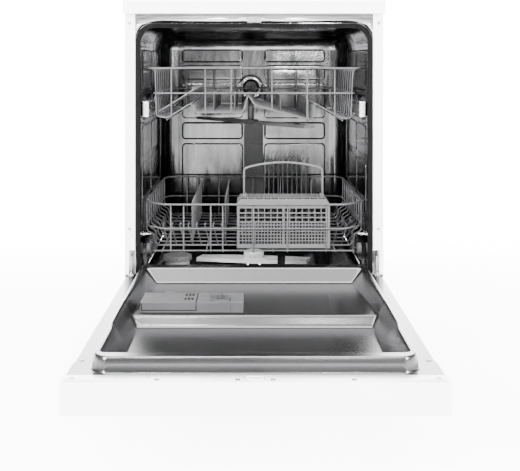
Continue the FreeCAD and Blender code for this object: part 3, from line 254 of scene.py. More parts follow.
class Piece:
    """Collects closed shells and turns them into one object."""

    def __init__(self):
        self.verts = []
        self.faces = []

    def add(self, verts, faces):
        start = len(self.verts)
        self.verts += [tuple(v) for v in verts]
        self.faces += [tuple(i + start for i in face) for face in faces]

    def box(self, x, y, z):
        corners = [(a, b, c) for c in z for b in y for a in x]
        self.add(
            corners,
            [(0, 2, 3, 1), (4, 5, 7, 6), (0, 1, 5, 4), (2, 6, 7, 3), (0, 4, 6, 2), (1, 3, 7, 5)],
        )

    def hexa(self, bottom, top):
        """A six-sided block from its bottom and top corners, both counter-clockwise from above."""
        self.add(
            list(bottom) + list(top),
            [(3, 2, 1, 0), (4, 5, 6, 7), (0, 1, 5, 4), (1, 2, 6, 5), (2, 3, 7, 6), (3, 0, 4, 7)],
        )

    def tube(self, path, radius, sides=8, closed=False):
        """A round wire along a path, with slightly domed ends."""
        points = [Vector(p) for p in path]
        count = len(points)
        rings = []
        side = None
        for i, point in enumerate(points):
            before = points[i - 1] if i or closed else point
            after = points[(i + 1) % count] if i < count - 1 or closed else point
            run = (after - before).normalized()
            if side is None:
                side = run.orthogonal().normalized()
            side = (side - run * side.dot(run)).normalized()
            other = run.cross(side)
            rings.append((point, side, other, run))
        if not closed:
            first, last = rings[0], rings[-1]
            rings.insert(0, (first[0] - first[3] * radius * 0.45, first[1], first[2], None))
            rings.append((last[0] + last[3] * radius * 0.45, last[1], last[2], None))
        verts, faces = [], []
        for point, a, b, run in rings:
            size = radius if run is not None else radius * 0.55
            for k in range(sides):
                angle = 2 * math.pi * k / sides
                verts.append(point + a * math.cos(angle) * size + b * math.sin(angle) * size)
        total = len(rings)
        for i in range(total if closed else total - 1):
            for k in range(sides):
                a, b = i * sides + k, i * sides + (k + 1) % sides
                c, d = (i + 1) % total * sides + (k + 1) % sides, (i + 1) % total * sides + k
                faces.append((a, b, c, d))
        if not closed:
            faces.append(tuple(reversed(range(sides))))
            faces.append(tuple((total - 1) * sides + k for k in range(sides)))
        self.add(verts, faces)

    def lathe(self, profile, centre, axis="Z", steps=40):
        """Turns (radius, height) points about an axis through centre."""
        verts, faces = [], []
        centre = Vector(centre)
        for r, h in profile:
            for k in range(steps):
                angle = 2 * math.pi * k / steps
                u, v = r * math.cos(angle), r * math.sin(angle)
                spot = {"X": (h, u, v), "Y": (u, h, v), "Z": (u, v, h)}[axis]
                verts.append(centre + Vector(spot))
        for i in range(len(profile) - 1):
            for k in range(steps):
                nxt = (k + 1) % steps
                faces.append((i * steps + k, i * steps + nxt, (i + 1) * steps + nxt, (i + 1) * steps + k))
        faces.append(tuple(reversed(range(steps))))
        faces.append(tuple((len(profile) - 1) * steps + k for k in range(steps)))
        self.add(verts, faces)

    def slab(self, outline, low, high, axis="Z"):
        """A flat closed outline of (u, v) points pushed from low to high along an axis."""
        count = len(outline)
        verts = []
        for level in (low, high):
            for u, v in outline:
                verts.append({"X": (level, u, v), "Y": (u, level, v), "Z": (u, v, level)}[axis])
        faces = [tuple(reversed(range(count))), tuple(range(count, 2 * count))]
        faces += [(i, (i + 1) % count, count + (i + 1) % count, count + i) for i in range(count)]
        self.add(verts, faces)

    def build(self, name, slot, body, replaces=(), bevel=0.0, smooth=True, material=None):
        mesh = bpy.data.meshes.new(name)
        mesh.from_pydata([tuple(c * MM for c in v) for v in self.verts], [], self.faces)
        mesh.validate()
        item = bpy.data.objects.new(name, mesh)
        bpy.context.scene.collection.objects.link(item)
        fix_normals(mesh)
        mesh.materials.append(material or MATERIALS[slot])
        if bevel:
            modifier = item.modifiers.new("edges", "BEVEL")
            modifier.width = bevel * MM
            modifier.segments = 2
            modifier.limit_method = "ANGLE"
            modifier.angle_limit = math.radians(40)
        if smooth:
            for polygon in mesh.polygons:
                polygon.use_smooth = True
            if bevel:
                item.modifiers.new("shade", "WEIGHTED_NORMAL")
        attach(item, body)
        if replaces:
            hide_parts(*replaces)
        return item


def fix_normals(mesh):
    data = bmesh.new()
    data.from_mesh(mesh)
    bmesh.ops.recalc_face_normals(data, faces=data.faces)
    data.to_mesh(mesh)
    data.free()


def bent(points, radius, closed=False, steps=4):
    """A path whose corners are rounded by curves that start a radius before each corner."""
    points = [Vector(p) for p in points]
    count = len(points)
    path = []
    for i, point in enumerate(points):
        if not closed and i in (0, count - 1):
            path.append(point)
            continue
        before, after = points[i - 1], points[(i + 1) % count]
        reach_in = min(radius, (before - point).length * 0.45)
        reach_out = min(radius, (after - point).length * 0.45)
        start = point + (before - point).normalized() * reach_in
        end = point + (after - point).normalized() * reach_out
        for k in range(steps + 1):
            t = k / steps
            path.append(start * (1 - t) ** 2 + point * 2 * t * (1 - t) + end * t * t)
    return path


def spread(low, high, count):
    return [low + (high - low) * i / (count - 1) for i in range(count)]


def round_rect(x, y, radius, steps=6):
    """A closed rectangle outline with round corners."""
    outline = []
    for cx, cy, start in (
        (x[1] - radius, y[1] - radius, 0),
        (x[0] + radius, y[1] - radius, 90),
        (x[0] + radius, y[0] + radius, 180),
        (x[1] - radius, y[0] + radius, 270),
    ):
        for k in range(steps + 1):
            angle = math.radians(start + 90 * k / steps)
            outline.append((cx + radius * math.cos(angle), cy + radius * math.sin(angle)))
    return outline


# ---------------------------------------------------------------- upper basket

WIRE, RIM = 1.75, 2.3
TRAY = [
    (-250, 697),
    (-233, 690),
    (-230.5, 582),
    (-205, 577),
    (-148, 613),
    (-140, 590),
    (-27, 590),
    (-14, 632),
    (3, 606),
    (128, 573),
    (138, 575),
    (142, 613),
    (208, 575),
    (228, 577),
    (233, 690),
    (250, 697),
]


def tray_height(x):
    for (x0, z0), (x1, z1) in zip(TRAY, TRAY[1:]):
        if x0 <= x <= x1 and x1 - x0 > 1:
            return z0 + (z1 - z0) * (x - x0) / (x1 - x0)
    return 590


def upper_basket():
    piece = Piece()
    front, rear = 61, 480
    for y in spread(front + 6, rear - 6, 11):
        piece.tube(bent([(x, y, z) for x, z in TRAY], 7), WIRE)
    for x, z in TRAY[3:-3]:
        piece.tube([(x, front, z - 3.4), (x, rear, z - 3.4)], WIRE)
    rim = [(-250, front, 695), (250, front, 695), (250, rear, 695), (-250, rear, 695)]
    piece.tube(bent(rim, 12, True), RIM, closed=True)
    belt = [(-236, front, 636), (236, front, 636), (236, rear, 636), (-236, rear, 636)]
    piece.tube(bent(belt, 8, True), 2.0, closed=True)
    for y in (front, rear):
        inside = 3.6 if y == front else -3.6
        for x in (-195, -115, -54, 42, 125, 190):
            low = tray_height(x) - 3
            path = [(x, y + inside, 694.5), (x, y + inside, low), (x, y + inside * 4, low - 0.6)]
            piece.tube(bent(path, 5), WIRE)
    piece.build("upper_basket_wires", "grey_wire", "upper_rack", ("upper_basket",))


def upper_fittings():
    piece = Piece()
    for x, high in ((-96, 634), (-46, 640), (63, 630), (129, 622)):
        low = tray_height(x) + 2.4
        outline = [(75, low), (466, low)]
        for y in reversed(spread(98, 443, 12)):
            outline += [(y + 13, high - 3), (y + 7, high), (y - 5, high)]
            outline += [(y - 9, high - 20), (y - 13, high - 20)]
        piece.slab(outline, x - 1.1, x + 1.1, "X")
    for side in (-1, 1):
        plate = [(282, 577), (458, 577), (458, 618), (440, 624), (300, 624), (282, 618)]
        piece.slab(plate, side * 236.8, side * 239.6, "X")
        for y in (300, 440):
            pin = [(4.2, 0), (4.2, side * 6), (2.9, side * 6.6), (2.9, side * 13.5)]
            piece.lathe(pin, (side * 239.6, y, 598), "X", 20)
        for y in (290, 370, 450):
            piece.box(sorted((side * 233, side * 238)), (y - 6, y + 6), (606, 612))
    piece.build("upper_basket_plastic", "grey_plastic", "upper_rack", ("upper_basket_fittings",), bevel=0.5)


def cup_shelf():
    """A slanted comb with slots, a raised lip and a round pivot edge."""
    piece = Piece()
    tilt = math.radians(32)

    def lifted(x, z):
        return (-224 + x * math.cos(tilt) - z * math.sin(tilt), 592 + x * math.sin(tilt) + z * math.cos(tilt))

    def plank(x, y, z):
        low, high = [], []
        for a, b in ((x[0], y[0]), (x[1], y[0]), (x[1], y[1]), (x[0], y[1])):
            for level, row in ((z[0], low), (z[1], high)):
                u, w = lifted(a, level)
                row.append((u, b, w))
        piece.hexa(low, high)

    plank((0, 14), (88, 438), (0, 3))
    plank((86, 97), (88, 438), (0, 3))
    plank((94, 97), (88, 438), (2, 8))
    for y in spread(90, 436, 25):
        plank((13, 87), (y - 2.2, y + 2.2), (0.2, 2.8))
    u, w = lifted(0, 1.5)
    piece.tube([(u, 85, w), (u, 441, w)], 2.6, 12)
    piece.build("cup_shelf_comb", "light_plastic", "shelf", ("cup_shelf",), bevel=0.5)


# ---------------------------------------------------------------- lower basket

def hoop(z, grow):
    half, front, rear, corner = 257 - grow, 39, 493, 210
    return [
        (-corner, front, z),
        (corner, front, z),
        (half, front + 41, z),
        (half, rear - 25, z),
        (half - 14, rear, z),
        (14 - half, rear, z),
        (-half, rear - 25, z),
        (-half, front + 41, z),
    ]


def lower_basket():
    piece = Piece()
    piece.tube(bent(hoop(378, 0), 16, True), RIM, closed=True)
    piece.tube(bent(hoop(322, 0), 16, True), 2.0, closed=True)
    section = [(-256.6, 377), (-256.6, 306), (-240, 298), (-240, 286), (-231, 271)]
    section += [(231, 271), (240, 286), (240, 298), (256.6, 306), (256.6, 377)]
    for y in spread(94, 461, 10):
        piece.tube(bent([(x, y, z) for x, z in section], 7), WIRE)
    for x in (-215, -112, -30, 45, 190):
        piece.tube([(x, 45, 267.6), (x, 487, 267.6)], WIRE)
    for y in (40, 492):
        piece.tube([(-231, y, 271), (231, y, 271)], WIRE)
        inside = 3.4 if y == 40 else -3.4
        for x in (-194, -164, -101, -73, -1, 78, 168):
            path = [(x, y + inside, 377.5), (x, y + inside, 266.5), (x, y + inside * 4.4, 266)]
            piece.tube(bent(path, 6), WIRE)
    for x in (90, 160):
        for y in spread(185, 425, 9):
            path = [(x + 3, y - 14, 273.5), (x, y - 11, 273.5), (x - 8, y, 331), (x - 6, y + 9, 273.5)]
            piece.tube(bent(path, 5), 1.6)
        piece.tube([(x, 172, 273), (x, 440, 273)], WIRE)
    for x in [-212 + 20 * k for k in range(8)]:
        piece.tube(bent([(x + 6, 106, 269), (x - 7, 106, 319), (x - 4, 110, 322)], 3), 1.5)
    for x in (196, 216):
        piece.tube(bent([(x - 6, 106, 269), (x + 7, 106, 319), (x + 4, 110, 322)], 3), 1.5)
    piece.tube([(-231, 106, 269.5), (231, 106, 269.5)], 1.5)
    for x in spread(30, 148, 10):
        piece.tube(bent([(x, 420.2, 271), (x, 420.2, 430), (x + 7, 416.2, 443)], 4), 1.6)
    piece.build("lower_basket_wires", "grey_wire", "lower_rack", ("lower_basket",))


def fold_tines():
    for node, body, x, low, high, count in (
        ("fold_tines_outer", "tines_outer", -150, 120, 456, 13),
        ("fold_tines_inner", "tines_inner", -72, 190, 442, 10),
    ):
        piece = Piece()
        piece.tube([(x, low - 8, 277), (x, high + 8, 277)], WIRE)
        for y in spread(low, high, count):
            path = [(x, y - 4, 277.5), (x, y, 281), (x, y, 368), (x + 3, y, 375)]
            piece.tube(bent(path, 5), WIRE)
        for y in (low - 5, (low + high) / 2 + 7, high + 5):
            piece.lathe([(2.2, -4), (3.9, -3.4), (3.9, 3.4), (2.2, 4)], (x, y, 277), "Y", 18)
        piece.build(node + "_wires", "grey_wire", body, (node,))


# ---------------------------------------------------------------- cutlery basket

def lattice(piece, along, level, span, height, columns, coarse=False):
    """A wall of bars: along is X or Y, level the wall's place on the other axis (low, high)."""
    low, high = height

    def bar(a, z):
        if along == "X":
            piece.box(a, level, z)
        else:
            piece.box(level, a, z)

    bar(span, (low, low + 11))
    bar(span, (high - 6, high))
    bar((span[0], span[0] + 7), (low + 10, high - 5))
    bar((span[1] - 7, span[1]), (low + 10, high - 5))
    inside = (span[0] + 7, span[1] - 7)
    pitch = (inside[1] - inside[0]) / columns
    fine_top = low + (high - low) * 0.62
    for i in range(1, columns):
        centre = inside[0] + pitch * i
        top = high - 5 if i % 2 == 0 else fine_top
        wide = 2.6 if 2 * i == columns else 1.05
        bar((centre - wide, centre + wide), (low + 10, top))
    for k in range(3):
        z = fine_top + (high - 6 - fine_top) * k / 3
        bar(inside, (z - 1.4, z + 1.4))
    rows = 0 if coarse else 6
    for k in range(1, rows + 1):
        z = low + 11 + (fine_top - low - 11) * k / (rows + 1)
        bar(inside, (z - 1.0, z + 1.0))


def cutlery_basket():
    piece = Piece()
    x, y, z = (-41, 178), (45, 150), (274, 374)
    lattice(piece, "X", (45, 47), x, z, 28)
    # The middle partitions, the rear wall and a thin sheet over the floor are drawn in near-black plastic:
    # painted shade inside the caddy, whose outer walls are the light plastic.
    inner = Piece()
    lattice(inner, "X", (96.5, 98.5), (x[0] + 2, x[1] - 2), (277, 372), 14, coarse=True)
    lattice(inner, "Y", (67.5, 69.5), (47, 148), (277, 372), 14)
    lattice(inner, "X", (148, 150), x, z, 28)
    inner.box((x[0] + 2, x[1] - 2), (y[0] + 2, y[1] - 2), (276.1, 277))
    inner.build("cutlery_partitions_painted_shade", "dark_plastic", "caddy", ("cutlery_basket",))
    for level in ((-41, -39), (176, 178)):
        lattice(piece, "Y", level, y, z, 14)
    piece.box(x, y, (274, 276))
    inner_x, inner_y = (-33, 170), (65, 140)
    lips = (
        ((-41, 45), (178, 45), (170, 65), (-33, 65)),
        ((178, 45), (178, 150), (170, 140), (170, 65)),
        ((178, 150), (-41, 150), (-33, 140), (170, 140)),
        ((-41, 150), (-41, 45), (-33, 65), (-33, 140)),
    )
    for a, b, c, d in lips:
        bottom = [(*a, 373), (*b, 373), (*c, 384), (*d, 384)]
        piece.hexa(bottom, [(px, py, pz + 2) for px, py, pz in bottom])
    for k in range(12):
        centre = inner_x[0] + (inner_x[1] - inner_x[0]) * k / 11
        piece.box((centre - 1.5, centre + 1.5), inner_y, (384, 386.4))
    for k in range(4):
        centre = inner_y[0] + (inner_y[1] - inner_y[0]) * k / 3
        piece.box(inner_x, (centre - 1.5, centre + 1.5), (384, 386.4))
    for centre in (-19.7, 159.7):
        piece.box((centre - 1.5, centre + 1.5), (93, 102), (385, 395))
    piece.build("cutlery_lattice", "light_plastic", "caddy", ("cutlery_basket",), bevel=0.45)


def cutlery_handle():
    piece = Piece()
    y = 97.5
    path = [(-24, y, 389), (-24, y, 454)]
    for k in range(1, 12):
        t = k / 12
        path.append((-24 + 188 * t, y, 454 + 15 * math.sin(math.pi * t) ** 0.8))
    path += [(164, y, 454), (164, y, 389)]
    smooth = bent(path[:2] + [path[2]], 7)[:-1] + path[2:-2] + bent(path[-3:], 7)[1:]
    piece.tube(smooth, 2.6, 10)
    for x in (-24, 164):
        piece.lathe([(1.5, -2.7), (4.5, -2.5), (4.5, 2.5), (1.5, 2.7)], (x, y, 389), "X", 20)
    piece.build("cutlery_bail", "light_plastic", "caddy_handle", ("cutlery_handle",))


# ---------------------------------------------------------------- door

def smooth_step(t):
    t = np.clip(t, 0, 1)
    return t * t * (3 - 2 * t)


def pressed_height(x, y):
    """Height of the liner's pressed sheet over the open door."""
    half, far, near, corner = 262.0, -545.5, 23.0, 33.0
    centre, reach = (far + near) / 2, (near - far) / 2
    dx = np.abs(x) - (half - corner)
    dy = np.where(y < centre, np.abs(y - centre) - (reach - corner), np.abs(y - centre) - reach + 5)
    round_off = np.where(y < centre, corner, 5.0)
    dx = np.where(y < centre, dx, np.abs(x) - (half - 5.0))
    outside = np.hypot(np.maximum(dx, 0), np.maximum(dy, 0)) + np.minimum(np.maximum(dx, dy), 0) - round_off
    rim = 219 + 26 * smooth_step((-outside - 2.0) / 3.2) ** 0.7

    def hollow(side_low, side_high, far_low, far_high, near_low, near_high, floor):
        u = (np.abs(x) - side_low) / (side_high - side_low)
        v = (far_low - y) / (far_low - far_high)
        w = (y - near_low) / (near_high - near_low)
        power = 5.0
        t = (np.maximum(u, 0) ** power + np.maximum(np.maximum(v, w), 0) ** power) ** (1 / power)
        t = np.clip(t, 0, 1)
        return floor + (245 - floor) * t

    inward = np.clip((y + 252) / 225, 0, 1)
    near_floor = hollow(240 - 23 * inward, 249 - 3 * inward, -256, -257.5, -29, -12, 215)
    far_floor = hollow(226, 246 + 5 * smooth_step((y + 420) / 50), -506, -521, -267, -246, 197)
    return np.minimum(rim, np.minimum(near_floor, far_floor))


def blurred(grid, passes):
    for _ in range(passes):
        edge = np.pad(grid, 1, mode="edge")
        grid = (edge[:-2, 1:-1] + edge[2:, 1:-1] + edge[1:-1, :-2] + edge[1:-1, 2:] + 4 * grid) / 8
    return grid


def door_liner():
    xs = np.linspace(-291.5, 291.5, 390)
    ys = np.linspace(-570.5, 27, 399)
    gx, gy = np.meshgrid(xs, ys, indexing="ij")
    heights = blurred(pressed_height(gx, gy), 2)
    rows, columns = gx.shape
    verts = np.stack([gx, gy, heights], axis=-1).reshape(-1, 3)
    holes = ((-220, -28, -230, -171), (-13.9, 13.9, -572, -558.6), (276, 301, 8, 60), (-301, -276, 8, 60))
    faces = []
    for i in range(rows - 1):
        for j in range(columns - 1):
            x, y = (xs[i] + xs[i + 1]) / 2, (ys[j] + ys[j + 1]) / 2
            if any(a < x < b and c < y < d for a, b, c, d in holes):
                continue
            base = i * columns + j
            faces.append((base, base + columns, base + columns + 1, base + 1))
    mesh = bpy.data.meshes.new("liner_pressing")
    mesh.from_pydata((verts * MM).tolist(), [], faces)
    for polygon in mesh.polygons:
        polygon.use_smooth = True
    mesh.materials.append(MATERIALS["liner_steel"])
    item = bpy.data.objects.new("liner_pressing", mesh)
    bpy.context.scene.collection.objects.link(item)
    skin = item.modifiers.new("sheet", "SOLIDIFY")
    skin.thickness = 0.8 * MM
    skin.offset = -1
    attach(item, "door")
    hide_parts("door_liner")


def panel_lip():
    """The white strip of the control panel that shows in front of the liner's rim."""
    piece = Piece()
    for side in (-1, 1):
        corners = ((13.9, -573.6), (292.6, -573.6), (292.6, -547.6), (13.9, -547.6))
        piece.slab([(side * x, y) for x, y in corners], 219.05, 219.4)
    piece.box((-13.9, 13.9), (-573.6, -571), (219.05, 219.4))
    piece.box((-13.9, 13.9), (-558.4, -547.6), (219.05, 219.4))
    piece.build("panel_lip", "white_trim", "door")


def screw_head(piece, x, y, z, radius=4.0, axis="Z"):
    """A pan head with a round recess, turned from one profile."""
    profile = [(radius, 0), (radius, 0.7), (radius * 0.86, 1.2)]
    profile += [(radius * 0.55, 1.5), (radius * 0.5, 1.0), (0.2, 1.0)]
    if axis == "Y":
        profile = [(r, -h) for r, h in profile]
    piece.lathe(profile, (x, y, z), axis, 20)


def door_screws():
    piece = Piece()
    for x, y in ((282.5, -487), (282, -560), (151, -566), (27, -566)):
        for side in (-1, 1):
            screw_head(piece, side * x, y, 219)
    piece.build("door_screw_heads", "chrome_screw", "door", ("door_screws",))


def dispenser():
    """The raised box, the sliding lid in its groove with its slots, and the round cap in its recess. The
    slots and the lines along the groove are dark strips of painted shade.
    """
    body = Piece()
    top, low, front, rear = 234.7, 215.1, -235, -167
    x, y = -68, -201
    body.box((-224, -221.8), (front, rear), (low, top))
    body.box((-115, -89), (front, rear), (low, top))
    body.box((-47, -22), (front, rear), (low, top))
    body.box((-221.8, -115), (front, -231.5), (low, top))
    body.box((-89, -47), (front, -222), (low, top))
    body.box((-89, -47), (-180, rear), (low, top))
    body.box((-89, -47), (-222, -180), (low, top - 2.6))
    for side in ((-221.8, -212), (-132, -115)):
        body.box(side, (-231.5, rear), (low, top - 2.3))
    for side in ((-231.5, -228), (-174, rear)):
        body.box((-212, -132), side, (low, top - 2.3))
    for side in ((-219, -212), (-132, -29)):
        body.box(side, (-228, -174), (200, 214.9))
    body.box((-212, -132), (-228, -174), (200, 202))
    body.build("dispenser_shell", "dispenser_grey", "door", ("dispenser_body",), bevel=0.7)
    ring = Piece()
    collar = [(20.2, top - 2.6), (20.2, top + 0.1), (21.4, top + 0.5), (22.4, top + 0.1), (22.4, top - 2.6)]
    ring.lathe(collar, (x, y, 0))
    ring.build("dispenser_cap_ring", "dispenser_grey", "door")
    # Thin dark strips outlining the lid's groove on the front face and along its top edge are painted shade
    # in the gaps; the small dash on top is print.
    groove_shade_and_print = Piece()
    groove_shade_and_print.box((-107, -101), (-191.5, -190), (top - 0.1, top + 0.15))
    for left in (-222.4, -115.8):
        groove_shade_and_print.box((left, left + 1.6), (-235.3, -234.9), (low + 4, top - 1))
    groove_shade_and_print.box((-222.4, -114.2), (-235.3, -234.9), (low + 4, low + 5.6))
    groove_shade_and_print.box((-115.4, -113.8), (-235, -169), (top, top + 0.2))
    groove_shade_and_print.build("dispenser_groove_shade_and_print", "dark_plastic", "door")
    lid = Piece()
    lid.slab(round_rect((-221.5, -115.5), (-231, -171), 2), top - 1.9, top + 0.9)
    lid.box((-183, -160), (-175.5, -170.5), (top - 0.6, top + 3.4))
    for edge in (-220.8, -117.2):
        lid.box((edge, edge + 1), (-230.4, -171.6), (top + 0.7, top + 1.4))
    lid.build("dispenser_slider", "dispenser_grey", "powder_lid", ("dispenser_lid",), bevel=0.4)
    # The slots are dark sheets laid on the lid's top: painted shade in the slot openings.
    slots = Piece()
    for column in range(3):
        for row in range(2):
            left, near_edge = -140 + 7 * column, -219 + 27 * row
            slots.box((left, left + 5), (near_edge, near_edge + 14), (top + 0.85, top + 1.2))
    slots.build("dispenser_lid_slot_shade", "dark_plastic", "powder_lid")
    cap = Piece()
    disc = [(13, top - 8), (13, top - 1.6), (19.6, top - 1.6), (19.9, top + 0.7)]
    disc += [(19.2, top + 1.2), (14.8, top + 1.2), (14.2, top + 0.5), (0.1, top + 0.5)]
    cap.lathe(disc, (x, y, 0), "Z", 48)
    cap.box((x - 1.6, x + 1.6), (y - 16, y + 16), (top + 0.2, top + 4))
    cap.build("rinse_cap_dial", "cap_blue", "rinse_cap", ("rinse_aid_cap",), bevel=0.4)
    arcs = Piece()
    for side in (0, math.pi):
        sweep = [side + math.radians(28 + 8 * k) for k in range(16)]
        arcs.tube([(x + 9 * math.cos(a), y + 9 * math.sin(a), top + 0.6) for a in sweep], 0.55, 6)
    arcs.build("rinse_cap_arcs", "dark_plastic", "rinse_cap")


def latch():
    """A low hump round the slot that the striker enters, and the hook inside it."""
    piece = Piece()
    for side in (-1, 1):
        outline = [(-13.5, 216), (-13.5, 221.4), (-12, 222.4), (-9.5, 222.4), (-9.5, 216)]
        piece.slab([(side * u, v) for u, v in outline], -570.6, -559.1, "Y")
    piece.box((-9.6, 9.6), (-570.6, -568.5), (205, 222.4))
    piece.box((-9.6, 9.6), (-560.4, -559.1), (205, 222.4))
    piece.box((-22, 22), (-570.6, -568.5), (199, 218))
    piece.box((-22, 22), (-560.4, -544.4), (199, 218))
    for x in ((-22, -9.5), (9.5, 22)):
        piece.box(x, (-568.6, -560.3), (199, 218))
    piece.build("latch_shell", "white_trim", "door", ("door_latch",), bevel=0.8)
    hook = Piece()
    y = -567.3
    path = [(-6, y, 218), (-6, y, 221), (-2, y, 221.6), (5, y, 221.6), (6, y, 218)]
    hook.tube(bent(path, 2), 0.8, 8)
    hook.build("latch_hook", "dark_plastic", "door")


# ---------------------------------------------------------------- tub details

def raised(piece, x, z, y, depth, soft=5.0):
    """A pressed field on the back wall, standing towards the front."""
    outer = round_rect(x, z, min(12, (z[1] - z[0]) / 3))
    inner = round_rect((x[0] + soft, x[1] - soft), (z[0] + soft, z[1] - soft), min(9, (z[1] - z[0]) / 4))
    count = len(outer)
    verts = [(u, y, v) for u, v in outer] + [(u, y - depth, v) for u, v in inner]
    faces = [(i, (i + 1) % count, count + (i + 1) % count, count + i) for i in range(count)]
    faces += [tuple(range(count, 2 * count)), tuple(reversed(range(count)))]
    piece.add(verts, faces)


def side_field(piece, side, y, z, depth, soft=5.0):
    """The same on a side wall, standing inwards."""
    outer = round_rect(y, z, 10)
    inner = round_rect((y[0] + soft, y[1] - soft), (z[0] + soft, z[1] - soft), 7)
    wall = 264.4 * side
    count = len(outer)
    verts = [(wall, u, v) for u, v in outer] + [(wall - side * depth, u, v) for u, v in inner]
    faces = [(i, (i + 1) % count, count + (i + 1) % count, count + i) for i in range(count)]
    faces += [tuple(range(count, 2 * count)), tuple(reversed(range(count)))]
    piece.add(verts, faces)


def tub_pressings():
    piece, walls = Piece(), Piece()
    back = 520.9
    for side in (-1, 1):
        spans = sorted((side * 31, side * 212))
        raised(piece, spans, (232, 474), back, 3.2)
        raised(piece, spans, (484, 536), back, 4.2)
        raised(piece, spans, (546, 652), back, 3.2)
        raised(piece, spans, (660, 704), back, 3.2)
        raised(piece, spans, (711, 751), back, 4.6)
        for y in ((70, 210), (226, 400)):
            side_field(walls, side, y, (300, 470), 2.2)
            side_field(walls, side, y, (640, 740), 2.2)
            side_field(walls, side, y, (484, 560), 2.2)
        side_field(walls, side, (428, 478), (232, 560), 2.0)
    # The back-wall fields take the steel with painted shade towards the bottom.
    piece.build("tub_pressings", "tub_steel", "cabinet", bevel=1.0, material=BACK_STEEL_PAINTED_SHADE)
    walls.build("tub_side_pressings", "tub_steel", "cabinet", bevel=1.0)
    seam = Piece()
    for side in (-1, 1):
        seam.box(sorted((side * 264.4, side * 263.4)), (411.5, 416.6), (212, 748))
    seam.build("tub_seams", "dark_plastic", "cabinet", smooth=False)


def frame_face():
    """The bright face of the frame round the tub's mouth, drawn just in front of its sheet."""
    piece = Piece()
    front = (31.4, 31.9)
    half, top = 274.0, 799.2
    piece.box((-296, 296), front, (top, 818.6))
    for side in (-1, 1):
        piece.box(sorted((side * 296, side * half)), front, (274.6, top))
        corner = [(side * half, top - 36)]
        for k in range(9):
            angle = math.radians(90 * k / 8)
            corner.append((side * (half - 38 + 38 * math.cos(angle)), top - 38 + 38 * math.sin(angle)))
        corner += [(side * (half - 38), top), (side * half, top)]
        piece.slab(corner, *front, "Y")
    piece.build("frame_face", "chrome_screw", "cabinet")


def gasket_ribs():
    """Fine grooves along the gasket: two thin tubes following the arch."""
    for name, half, top, radius, y, slot in (
        ("gasket_bead_outer", 271.2, 796.2, 1.5, 27.9, "seal_rubber"),
        ("gasket_bead_inner", 265.4, 790.4, 1.5, 27.9, "seal_rubber"),
    ):
        piece = Piece()
        deep = y + radius
        path = [(-half, deep, 224), (-half, deep, top), (half, deep, top), (half, deep, 224)]
        piece.tube(bent(path, 44, steps=10), radius, 8)
        piece.build(name, slot, "cabinet")


def duct():
    piece = Piece()
    outline = round_rect((-28, 28), (214, 528), 5)
    piece.slab(outline, 508, 520.6, "Y")
    for z in (470, 392, 314):
        piece.box((-28.4, 28.4), (506.8, 508.5), (z - 1.5, z + 1.5))
    piece.box((-1.2, 1.2), (507, 508.5), (232, 400))
    piece.lathe([(12, -1), (18, 0), (18, 12.4), (12, 12.4), (11.5, 2)], (-8, 508.2, 638), "Y", 40)
    dish = Piece()
    dish.lathe([(38, 12.6), (35, 10.5), (30, 8.4), (20, 7.6), (19, 12.6)], (-8, 508, 638), "Y", 48)
    dish.build("port_dish", "tub_steel", "cabinet")
    piece.build("feed_duct_shell", "grey_plastic", "cabinet", ("feed_duct",), bevel=0.6)


def frame_fixings():
    screws = Piece()
    for z in (323, 799):
        for side in (-1, 1):
            screw_head(screws, side * 288, 31, z, 4.0, "Y")
    screws.build("cabinet_screw_heads", "chrome_screw", "cabinet", ("cabinet_screws",))


# ---------------------------------------------------------------- put together

upper_basket()
upper_fittings()
cup_shelf()
lower_basket()
fold_tines()
cutlery_basket()
cutlery_handle()
door_liner()
panel_lip()
door_screws()
dispenser()
latch()
tub_pressings()
frame_face()
gasket_ribs()
duct()
frame_fixings()


# ---------------------------------------------------------------- studio

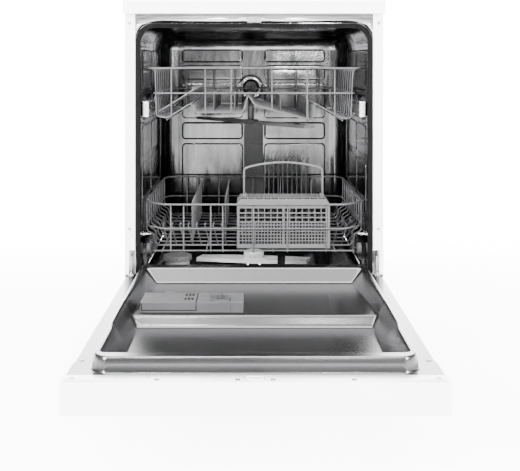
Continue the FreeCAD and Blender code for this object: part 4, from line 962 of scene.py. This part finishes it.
def studio():
    mesh = bpy.data.meshes.new("studio_floor")
    size = 14.0
    corners = [(-size, -size, 0), (size, -size, 0), (size, size, 0), (-size, size, 0)]
    mesh.from_pydata(corners, [], [(0, 1, 2, 3)])
    floor = bpy.data.objects.new("studio_floor", mesh)
    bpy.context.scene.collection.objects.link(floor)
    paint = surface("pale_floor", (0.93, 0.93, 0.93), (0.95, 0.95, 0.95), (0.6, 0.7), patch=1.5)
    shader = paint.node_tree.nodes["Principled BSDF"]
    shader.inputs["Emission Color"].default_value = (1, 1, 1, 1)
    paint_nodes, paint_links = paint.node_tree.nodes, paint.node_tree.links
    place = paint_nodes.new("ShaderNodeTexCoord")
    parts = paint_nodes.new("ShaderNodeSeparateXYZ")
    paint_links.new(place.outputs["Object"], parts.inputs["Vector"])
    glow = paint_nodes.new("ShaderNodeMapRange")
    glow.inputs["From Min"].default_value = 0.3
    glow.inputs["From Max"].default_value = 2.5
    glow.inputs["To Min"].default_value = 3.4
    glow.inputs["To Max"].default_value = 18.0
    paint_links.new(parts.outputs["Y"], glow.inputs["Value"])
    paint_links.new(glow.outputs["Result"], shader.inputs["Emission Strength"])
    mesh.materials.append(paint)

    world = bpy.data.worlds.new("studio")
    bpy.context.scene.world = world
    world.use_nodes = True
    nodes, links = world.node_tree.nodes, world.node_tree.links
    background = nodes["Background"]
    coords = nodes.new("ShaderNodeTexCoord")
    split = nodes.new("ShaderNodeSeparateXYZ")
    links.new(coords.outputs["Generated"], split.inputs["Vector"])
    shade = nodes.new("ShaderNodeMapRange")
    shade.inputs["From Min"].default_value = 0.4
    shade.inputs["From Max"].default_value = 0.85
    shade.inputs["To Min"].default_value = 0.9
    shade.inputs["To Max"].default_value = 20.0
    links.new(split.outputs["Y"], shade.inputs["Value"])
    links.new(shade.outputs["Result"], background.inputs["Strength"])
    background.inputs["Color"].default_value = (1, 1, 1, 1)

    for name, spot, aim, power, wide, tall in (
        ("key", (-1.9, -2.6, 1.9), (0, -0.1, 0.4), 260, 0.7, 1.0),
        ("fill", (2.2, -2.5, 1.5), (0, -0.1, 0.4), 190, 0.6, 1.1),
        ("top", (0, -0.9, 3.0), (0, -0.3, 0.2), 300, 2.8, 1.7),
        ("high", (0, -2.3, 2.4), (0, -0.3, 0.2), 40, 2.6, 0.7),
        ("mouth", (-0.35, -1.7, 1.25), (0, 0.4, 0.6), 14, 0.12, 0.12),
        ("glint", (0.3, -2.0, 1.0), (0, 0.4, 0.6), 12, 0.14, 0.14),
    ):
        data = bpy.data.lights.new(name, "AREA")
        data.shape = "RECTANGLE"
        data.size, data.size_y = wide, tall
        data.energy = power
        lamp = bpy.data.objects.new(name, data)
        lamp.location = spot
        lamp.rotation_euler = (Vector(aim) - Vector(spot)).to_track_quat("-Z", "Y").to_euler()
        bpy.context.scene.collection.objects.link(lamp)

    data = bpy.data.cameras.new("camera")
    data.lens, data.sensor_width = 52.6, 36.0
    data.shift_x, data.shift_y = 0.0163, -0.322
    camera = bpy.data.objects.new("camera", data)
    camera.location = (-0.006, -1.725, 0.695)
    camera.rotation_euler = (math.radians(90), 0, 0)
    bpy.context.scene.collection.objects.link(camera)
    bpy.context.scene.camera = camera


studio()
